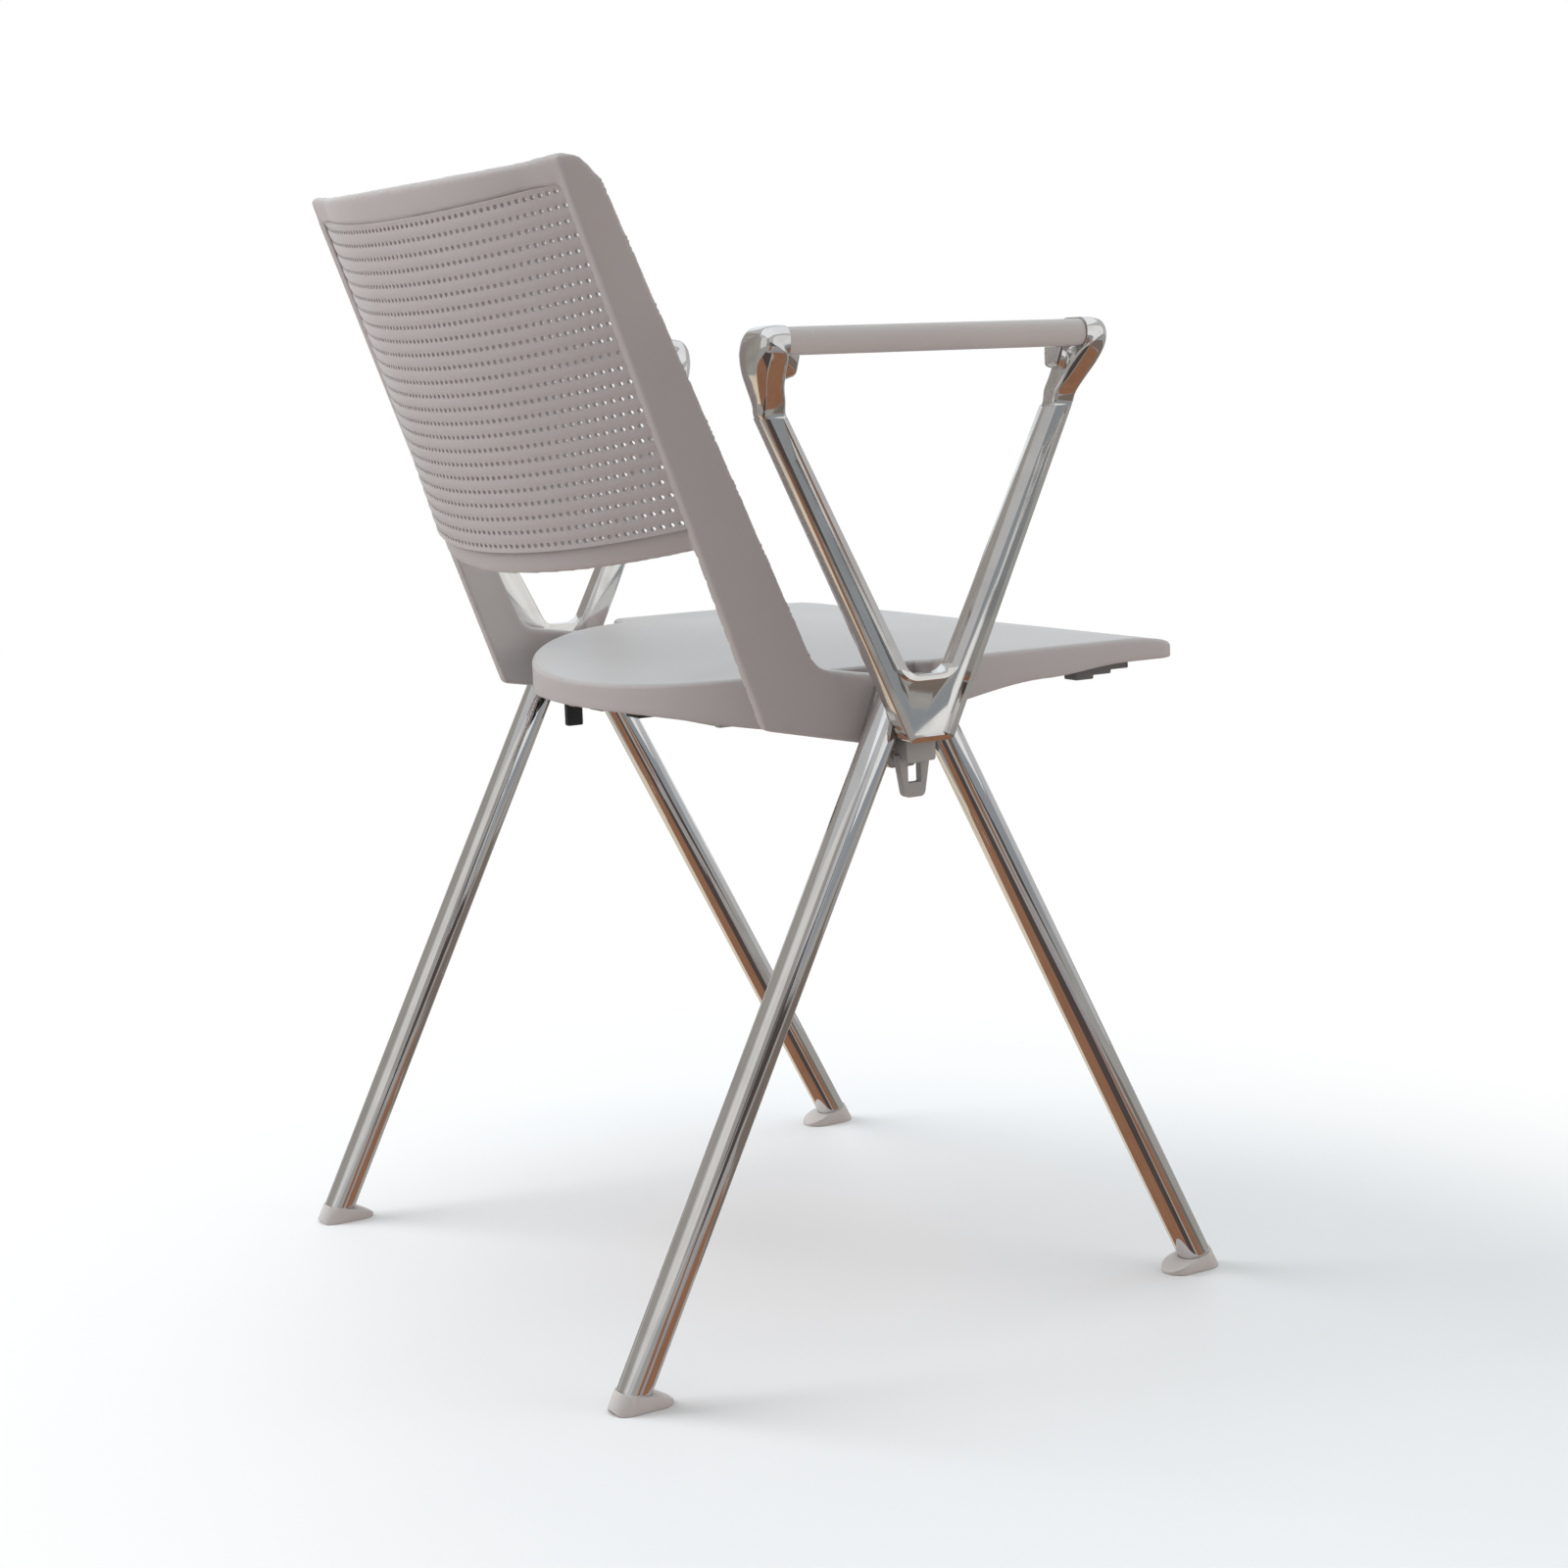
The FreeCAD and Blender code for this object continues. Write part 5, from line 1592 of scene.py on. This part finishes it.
    def build(self, dresser: Dresser) -> None:
        """Build and dress the panel.

        Args:
            dresser: Gives the finish.
        """
        piece = self.tile()
        tree = self.tree()
        sheet = piece.modifiers.new("perforated_sheet", "NODES")
        sheet.node_group = tree
        sizes = {
            "Rows": self.rows,
            "Columns": self.columns,
            "Pitch": self.pitch * MM,
            "Row Height": self.row_height * MM,
            "Low": self.low * MM,
            "Edge": self.flat_edge * MM,
            "Ridge": self.ridge * MM,
            "Material": dresser.material(GREY_PLASTIC),
        }
        for item in tree.interface.items_tree:
            if item.in_out == "INPUT" and item.name in sizes:
                sheet[item.identifier] = sizes[item.name]
        wall = piece.modifiers.new("wall", "SOLIDIFY")
        wall.thickness = self.thickness * MM
        wall.offset = -1.0
        settle(piece)
        bpy.data.node_groups.remove(tree)
        dresser.fit(piece, GREY_PLASTIC, "back_panel")


# Arms


class Station(NamedTuple):
    """One section of an elbow, with y from the arm's middle and the corner as a share of a side."""

    inner_y: float
    inner_z: float
    outer_y: float
    outer_z: float
    near_x: float
    far_x: float
    corner: float


@dataclass
class Arm:
    """Polished V casting with a recessed outer face and cupped ends, and the pad between them."""

    middle_y: float = -0.5
    face_x: float = 251.3
    depth: float = 13.0
    base_z: float = 399.0
    base_half: float = 16.5
    base_round: float = 5.0
    neck_z: float = 604.0
    neck_outer: float = 114.7
    neck_inner: float = 97.5
    notch_z: float = 442.0
    notch_half: float = 14.5
    notch_round: float = 12.0
    rim: float = 3.5
    rim_fall: float = 1.3
    wall_run: float = 1.0
    ramp: float = 26.0
    recess: float = 4.5
    rim_edge: float = 0.7
    pad_x: float = 274.0
    pad_z: float = 652.2
    pad_half: float = 109.8
    pad_width: float = 27.0
    pad_thickness: float = 17.0
    pad_round: float = 7.5
    cup_over: float = 1.0
    crest: float = 8.0
    boss_x: float = 268.5
    boss_width: float = 19.0
    boss_reach: float = 13.0
    boss_slope: float = 0.45
    boss_round: float = 3.5
    boss_gap: float = 0.1
    boss_root: float = 4.0
    boss_root_drop: float = 17.0
    boss_root_round: float = 1.0
    boss_tip_drop: float = 12.0
    boss_top_round: float = 0.2
    neck_overlap: float = 3.0
    neck_grow: float = 0.12
    neck_start: float = 2.2
    neck_inner_shift: float = 1.1
    neck_outer_shift: float = 1.05
    least_round: float = 1.0

    # Share of the way across the boss, and how much of its outline is left there
    boss_rings: tuple[Flat, ...] = (
        (0.0, 0.9),
        (0.03, 0.97),
        (0.08, 1.0),
        (0.9, 1.0),
        (0.96, 0.97),
        (1.0, 0.9),
    )

    # How finely the outline, the elbows, the bosses and the pad are drawn
    outline_steps: int = 8
    rim_angle: float = math.radians(30.0)
    elbow_steps: int = 10
    elbow_corner_steps: int = 6
    boss_steps: int = 5
    pad_steps: int = 24
    pad_corner_steps: int = 8

    def corners(self, inset: float, neck: float) -> list[Point]:
        """Corners of the V's outline from the side, moved inwards.

        Args:
            inset: How far inwards.
            neck: Height of the limbs' ends.

        Returns:
            Two coordinates and a radius for each corner.
        """
        rise = self.neck_z - self.base_z
        lean = (self.neck_outer - self.base_half) / rise
        inner_lean = (self.neck_inner - self.notch_half) / (self.neck_z - self.notch_z)
        side = inset * math.hypot(1.0, lean)
        past = neck - self.neck_z
        half = [
            (self.base_half - side, self.base_z + inset, max(self.base_round - inset, self.least_round)),
            (self.neck_outer - side + lean * past, neck, 0.0),
            (self.neck_inner + side + inner_lean * past, neck, 0.0),
            (self.notch_half + side, self.notch_z - inset, self.notch_round + inset),
        ]
        rear = [(self.middle_y + y, z, r) for y, z, r in half]
        front = [(self.middle_y - y, z, r) for y, z, r in reversed(half)]
        return rear + front

    def v_body(self, side: Side) -> bpy.types.Object:
        """V with its recess and softened edges.

        Args:
            side: Which arm.

        Returns:
            Its object.
        """
        outer_x = self.face_x + self.depth
        neck = self.neck_z + self.neck_overlap
        body = MeshBuilder()

        def loop(x: float, inset: float, end: float) -> list[int]:
            """Ring of the outline at a place across."""
            flat = rounded_loop(self.corners(inset, end), self.outline_steps)
            return body.ring([(side.value * x, y, z) for y, z in flat])

        back = loop(self.face_x, 0.0, neck)
        front = loop(outer_x - self.rim_fall, 0.0, neck)
        lip = loop(outer_x, self.rim, neck)
        floor = loop(outer_x - self.recess, self.rim + self.wall_run, neck - self.ramp)
        body.faces.append(back)
        body.bridge(back, front)
        body.bridge(front, lip)
        body.bridge(lip, floor)
        body.faces.append(floor)
        return soften(body.build(f"arm_v_{side.word}"), self.rim_edge, EDGE_STEPS, self.rim_angle)

    def section(self, station: Station) -> list[Point]:
        """Rounded rectangle of one elbow station.

        Args:
            station: The station.

        Returns:
            Its points, as (x, y, z) with y from the arm's middle.
        """
        span = math.hypot(station.outer_y - station.inner_y, station.outer_z - station.inner_z)
        radius = station.corner * min(span, station.far_x - station.near_x)
        low, high = (station.near_x, 0.0), (station.far_x, span)
        points = []
        for x, along in rounded_rectangle(low, high, radius, self.elbow_corner_steps):
            y = lerp(station.inner_y, station.outer_y, along / span)
            z = lerp(station.inner_z, station.outer_z, along / span)
            points.append((x, y, z))
        return points

    def stations(self) -> list[Station]:
        """Elbow stations, from the neck to the cup.

        Returns:
            The stations, in order.
        """
        end, axis, middle = self.pad_half, self.pad_z, self.pad_x
        half = self.pad_width / 2 + self.cup_over
        rise = self.pad_thickness / 2 + self.cup_over
        near, far = middle - half, middle + half
        grow = self.neck_grow
        low = self.neck_z + self.neck_start
        x_low, x_high = self.face_x - grow, self.face_x + self.depth + grow
        inner = self.neck_inner + self.neck_inner_shift - grow
        outer = self.neck_outer + self.neck_outer_shift + grow
        return [
            Station(inner, low, outer, low, x_low, x_high, 0.2),
            Station(inner + 1.4, low + 3.6, outer + 1.4, low + 3.2, x_low + 0.1, x_high + 0.4, 0.21),
            Station(end - 9.0, axis - 35.3, end + 8.3, axis - 37.3, middle - 22.5, middle - 7.0, 0.2),
            Station(end - 6.0, axis - 26.3, end + 12.5, axis - 28.3, middle - 22.0, middle - 1.0, 0.27),
            Station(end - 4.0, axis - 18.3, end + 17.0, axis - 18.3, middle - 21.0, middle + 6.0, 0.3),
            Station(end - 2.0, axis - 12.3, end + 19.3, axis - 8.3, middle - 19.5, middle + 12.0, 0.32),
            Station(end - 1.0, axis - 10.0, end + 19.0, axis + 1.0, middle - 17.5, middle + 14.3, 0.33),
            Station(end - 0.4, axis - 9.8, end + 15.5, axis + 7.5, middle - 15.5, middle + 14.4, 0.35),
            Station(end + 0.1, axis - rise, end + self.crest, axis + rise, near, far, 0.38),
            Station(end + 0.2, axis - rise, end + 0.2, axis + rise, near, far, 0.4),
        ]

    def elbow(self, casting: MeshBuilder, side: Side, end: int) -> None:
        """Add an elbow with its cup.

        Args:
            casting: Where it is added.
            side: Which arm.
            end: 1 at the rear, -1 at the front.
        """
        stations = self.stations()
        smooth = []
        for i in range(len(stations) - 1):
            before = stations[max(i - 1, 0)]
            first, second = stations[i], stations[i + 1]
            after = stations[min(i + 2, len(stations) - 1)]
            for step in range(self.elbow_steps):
                t = step / self.elbow_steps
                four = zip(before, first, second, after)
                smooth.append(Station(*(self.spline(t, *numbers) for numbers in four)))
        smooth.append(stations[-1])
        rings = []
        for station in smooth:
            ring = self.section(station)
            rings.append([(side.value * x, self.middle_y + end * y, z) for x, y, z in ring])
        casting.loft(rings)

    def spline(self, t: float, before: float, first: float, second: float, after: float) -> float:
        """Smooth curve through stations.

        Args:
            t: From 0 at the first number to 1 at the second.
            before: Number before them.
            first: Number where it starts.
            second: Number where it ends.
            after: Number after them.

        Returns:
            The number on the curve.
        """
        leave, reach = (second - before) / 2, (after - first) / 2
        cube = 2 * first - 2 * second + leave + reach
        square = 3 * second - 3 * first - 2 * leave - reach
        return ((cube * t + square) * t + leave) * t + first

    def boss(self, casting: MeshBuilder, side: Side, end: int) -> None:
        """Add the fin under the pad's end that its screw goes through.

        Args:
            casting: Where it is added.
            side: Which arm.
            end: 1 at the rear, -1 at the front.
        """
        under = self.pad_z - self.pad_thickness / 2 - self.boss_gap
        tip = self.pad_half - self.boss_reach
        root = self.pad_half + self.boss_root
        corners = [
            (root, under, self.boss_top_round),
            (tip, under, self.boss_top_round),
            (tip, under - self.boss_tip_drop, self.boss_round),
            (root, under - self.boss_root_drop, self.boss_root_round),
        ]
        flat = rounded_loop(corners, self.boss_steps)
        near = self.boss_x - self.boss_width / 2
        rings = []
        for across, left in self.boss_rings:
            ring = []
            for y, z in flat:
                height = lerp(under, z, left)
                far = self.boss_x + self.boss_width / 2 + self.boss_slope * (height - under)
                along = self.middle_y + end * lerp(root, y, left)
                ring.append((side.value * lerp(near, far, across), along, height))
            rings.append(ring)
        casting.loft(rings)

    def pad(self, side: Side) -> bpy.types.Object:
        """Rounded bar between the cups.

        Args:
            side: Which arm.

        Returns:
            Its object.
        """
        bar = MeshBuilder()
        half_w, half_t = self.pad_width / 2, self.pad_thickness / 2
        low, high = (-half_w, -half_t), (half_w, half_t)
        loop = rounded_rectangle(low, high, self.pad_round, self.pad_corner_steps)
        rings = []
        for i in range(self.pad_steps + 1):
            y = self.middle_y + lerp(-self.pad_half, self.pad_half, i / self.pad_steps)
            rings.append([(side.value * (self.pad_x + x), y, self.pad_z + z) for x, z in loop])
        bar.loft(rings)
        return settle(bar.build(f"pad_{side.word}"))

    def build(self, dresser: Dresser) -> None:
        """Build and dress both arms.

        Args:
            dresser: Gives the finishes.
        """
        for side in Side:
            heads = MeshBuilder()
            for end in (1, -1):
                self.elbow(heads, side, end)
                self.boss(heads, side, end)
            casting = settle(heads.build(f"arm_{side.word}"), BLENDED_ANGLE)
            merge(casting, [self.v_body(side)])
            dresser.fit(casting, CASTING, f"arm_casting_{side.word}")
            dresser.fit(self.pad(side), PAD_PLASTIC, f"arm_pad_{side.word}")


# Studio


@dataclass(frozen=True)
class Lamp:
    """Large soft lamp that points at the chair."""

    name: str
    place: Point
    size: float
    power: float
    colour: Colour
    aim: Point = (0.0, 0.0, 0.4)

    def build(self) -> None:
        """Set up the lamp."""
        data = bpy.data.lights.new(self.name, "AREA")
        data.size = self.size
        data.energy = self.power
        data.color = self.colour
        lamp = bpy.data.objects.new(self.name, data)
        towards = Vector(self.aim) - Vector(self.place)
        lamp.rotation_euler = towards.to_track_quat("-Z", "Y").to_euler()
        lamp.location = self.place
        lamp.visible_glossy = False
        bpy.context.scene.collection.objects.link(lamp)


@dataclass(frozen=True)
class Card:
    """Clouded card that only shows in the bright metal and in the plastic's sheen."""

    name: str
    colour: Colour
    cloud_per_metre: float = 2.5
    cloud_octaves: float = 4.0
    dim: float = 0.7
    bright: float = 1.15

    def build(self, corners: Sequence[Point]) -> None:
        """Set up the card.

        Args:
            corners: Its corners.
        """
        mesh = bpy.data.meshes.new(self.name)
        mesh.from_pydata(corners, [], [tuple(range(len(corners)))])
        card = stand(mesh, self.name)
        card.visible_camera = False
        card.visible_diffuse = False
        card.visible_shadow = False
        card.visible_transmission = False
        shader = Shader(self.name)
        cloud = shader.noise(self.cloud_per_metre, self.cloud_octaves)
        dim, bright = (tuple(c * share for c in self.colour) for share in (self.dim, self.bright))
        glow = {"Color": shader.mix(cloud, dim, bright), "Strength": 1.0}
        shader.show(shader.add("ShaderNodeEmission", None, glow))
        mesh.materials.append(shader.material)


@dataclass(frozen=True)
class Patch:
    """Level rectangle of the room, by its lower and upper corner in metres."""

    card: Card
    low: Flat
    high: Flat

    def build(self, height: float) -> None:
        """Set up the patch.

        Args:
            height: Its height.
        """
        (x_low, y_low), (x_high, y_high) = self.low, self.high
        flat = [(x_low, y_low), (x_high, y_low), (x_high, y_high), (x_low, y_high)]
        self.card.build([(x, y, height) for x, y in flat])


@dataclass(frozen=True)
class Wall:
    """Upright rectangle of the room, by bearings in degrees from +X towards +Y, and metres."""

    card: Card
    first: float
    last: float
    away: float
    foot: float
    top: float

    def build(self) -> None:
        """Set up the wall."""
        turns = [math.radians(bearing) for bearing in (self.first, self.last)]
        start, end = ((self.away * math.cos(t), self.away * math.sin(t)) for t in turns)
        self.card.build([(*start, self.foot), (*end, self.foot), (*end, self.top), (*start, self.top)])


LAMPS = (
    Lamp("key", (1.7, 1.8, 2.0), 2.2, 105.0, (0.87, 0.95, 1.0)),
    Lamp("top", (0.15, -0.35, 2.6), 3.2, 67.0, (0.69, 0.92, 1.0)),
    Lamp("fill", (-2.0, -1.6, 1.0), 1.8, 19.0, (1.0, 0.97, 0.95)),
)
PALE = (0.38, 0.37, 0.35)
CREAM = (0.76, 0.66, 0.52)
BROWN = (0.30, 0.15, 0.088)
UMBER = (0.20, 0.165, 0.14)
LILAC = (0.34, 0.32, 0.335)
DARK = (0.085, 0.066, 0.060)
PATCHES = (
    Patch(Card("pale_patch", PALE), (-40.0, -40.0), (40.0, 40.0)),
    Patch(Card("cream_patch", CREAM), (3.2, -2.5), (9.0, 4.0)),
    Patch(Card("wood_patch", BROWN), (-1.5, -0.9), (3.2, 5.0)),
    Patch(Card("shade_patch", DARK), (-5.2, -0.7), (-1.5, 5.0)),
    Patch(Card("lilac_patch", LILAC), (-7.0, -3.0), (-5.2, 0.4)),
    Patch(Card("plank_patch", BROWN), (-5.2, -4.0), (-0.3, -1.2)),
    Patch(Card("board_patch", BROWN), (-11.0, -0.3), (-7.0, 2.6)),
    Patch(Card("dim_patch", DARK), (-40.0, -8.0), (-11.0, 1.6)),
    Patch(Card("umber_patch", UMBER), (-7.6, -8.0), (4.0, -4.1)),
)
CEILING = Patch(Card("ceiling", (0.95, 0.97, 1.0)), (-3.4, -2.4), (1.2, 2.4))
WALLS = (
    Wall(Card("left_wall", (0.36, 0.34, 0.31)), 5.0, 84.0, 3.2, 0.0, 2.2),
    Wall(Card("light_wall", (0.72, 0.70, 0.66)), 94.0, 138.0, 3.2, 0.2, 2.4),
    Wall(Card("near_wall", (0.36, 0.34, 0.32)), 140.0, 160.0, 3.2, 0.0, 2.0),
    Wall(Card("dark_wall", (0.15, 0.14, 0.13)), 160.0, 186.0, 3.2, 0.0, 0.8),
    Wall(Card("cool_wall", (0.31, 0.33, 0.35)), -168.0, -126.0, 2.4, 0.0, 0.42),
    Wall(Card("bright_wall", (0.86, 0.86, 0.84)), -168.0, -126.0, 2.4, 0.43, 1.4),
    Wall(Card("backdrop", (0.92, 0.97, 1.0)), -64.0, 2.0, 2.6, 0.25, 2.6),
)


@dataclass
class Studio:
    """Pale floor, white surroundings, soft lamps, the room in the metal, and the camera."""

    lens_pixels: float = 2799.94
    image_pixels: float = 1600.0
    sensor: float = 36.0
    eye: Point = (-1.69322, 0.96728, 0.63868)
    yaw: float = math.radians(30.939)
    pitch: float = math.radians(8.694)
    roll: float = math.radians(-2.053)
    world_level: float = 0.5
    floor_size: float = 14.0
    floor_drop: float = 0.0003
    floor_colour: Colour = (0.655, 0.604, 0.591)
    floor_shade: Colour = (0.615, 0.567, 0.555)
    floor_roughness: float = 0.6
    floor_gloss: float = 0.1
    cloud_per_metre: float = 3.0
    cloud_octaves: float = 3.0
    fade_place: Flat = (-0.3, -0.05)
    fade_stretch: Flat = (0.7, 1.5)
    fade_limits: Flat = (0.4, 0.95)
    room_depth: float = 3.0
    room_height: float = 2.8
    patch_gap: float = 0.01

    def camera(self) -> None:
        """Set the camera to the photograph's view."""
        forward = Vector(
            (
                math.cos(self.yaw) * math.cos(self.pitch),
                -math.sin(self.yaw) * math.cos(self.pitch),
                -math.sin(self.pitch),
            )
        )
        level = forward.cross(Vector((0.0, 0.0, 1.0))).normalized()
        up = level.cross(forward)
        right = level * math.cos(self.roll) + up * math.sin(self.roll)
        top = up * math.cos(self.roll) - level * math.sin(self.roll)
        data = bpy.data.cameras.new("view")
        data.sensor_fit = "HORIZONTAL"
        data.sensor_width = self.sensor
        data.lens = self.lens_pixels / self.image_pixels * self.sensor
        camera = bpy.data.objects.new("view", data)
        turn = Matrix((right, top, -forward)).transposed().to_4x4()
        eye = Vector(self.eye) + Vector((0.0, HUB_PLANE_Y * MM, 0.0))
        camera.matrix_world = Matrix.Translation(eye) @ turn
        bpy.context.scene.collection.objects.link(camera)
        bpy.context.scene.camera = camera

    def world(self) -> None:
        """White surroundings for the camera, softer light on the chair."""
        world = bpy.data.worlds.new("studio")
        bpy.context.scene.world = world
        world.use_nodes = True
        nodes = Nodes(world.node_tree)
        path = nodes.add("ShaderNodeLightPath").outputs
        through = Value(nodes, path["Is Transmission Ray"])
        seen = Value(nodes, path["Is Camera Ray"]).math("MAXIMUM", through)
        level = self.world_level + seen * (1.0 - self.world_level)
        back = world.node_tree.nodes["Background"]
        nodes.feed(back.inputs["Color"], WHITE)
        nodes.feed(back.inputs["Strength"], level)

    def floor(self) -> None:
        """Pale floor that fades into the white surroundings."""
        half = self.floor_size / 2
        mesh = bpy.data.meshes.new("floor")
        flat = [(-half, -half), (half, -half), (half, half), (-half, half)]
        mesh.from_pydata([(x, y, -self.floor_drop) for x, y in flat], [], [(0, 1, 2, 3)])
        floor = stand(mesh, "floor")
        shader = Shader("pale_floor")
        cloud = shader.noise(self.cloud_per_metre, self.cloud_octaves)
        x, y, _ = shader.axes(shader.place)
        off_x, off_y = x - self.fade_place[0], y - self.fade_place[1]
        stretch_x, stretch_y = self.fade_stretch
        away = (off_x * off_x * stretch_x + off_y * off_y * stretch_y).math("SQRT")
        shader.set(Base_Color=shader.mix(cloud, self.floor_shade, self.floor_colour))
        shader.set(Roughness=self.floor_roughness)
        shader.set(Specular_IOR_Level=self.floor_gloss)
        white = shader.add("ShaderNodeEmission", None, {"Color": WHITE, "Strength": 1.0})
        layers = {0: away.ease(*self.fade_limits), 1: shader.main.outputs[0], 2: white.outputs[0]}
        shader.show(shader.add("ShaderNodeMixShader", None, layers))
        mesh.materials.append(shader.material)
        floor.visible_glossy = False

    def room(self) -> None:
        """Set up the far room that the bright metal shows."""
        for layer, patch in enumerate(PATCHES):
            patch.build(layer * self.patch_gap - self.room_depth)
        CEILING.build(self.room_height)
        for wall in WALLS:
            wall.build()

    def build(self) -> None:
        """Set up everything around the chair."""
        self.camera()
        self.world()
        self.floor()
        for lamp in LAMPS:
            lamp.build()
        self.room()
        bpy.context.scene.view_settings.view_transform = "Standard"


def main() -> None:
    """Build and dress the chair, piece by piece."""
    logging.basicConfig(level=logging.INFO, format="%(message)s")
    dresser = Dresser()
    bow = Bow()
    Studio().build()
    Base().build(dresser)
    RowLink().build(dresser)
    Seat().build(dresser)
    BackFrame(bow).build(dresser)
    Perforations(bow).build(dresser)
    Arm().build(dresser)


if __name__ == "__main__":
    main()
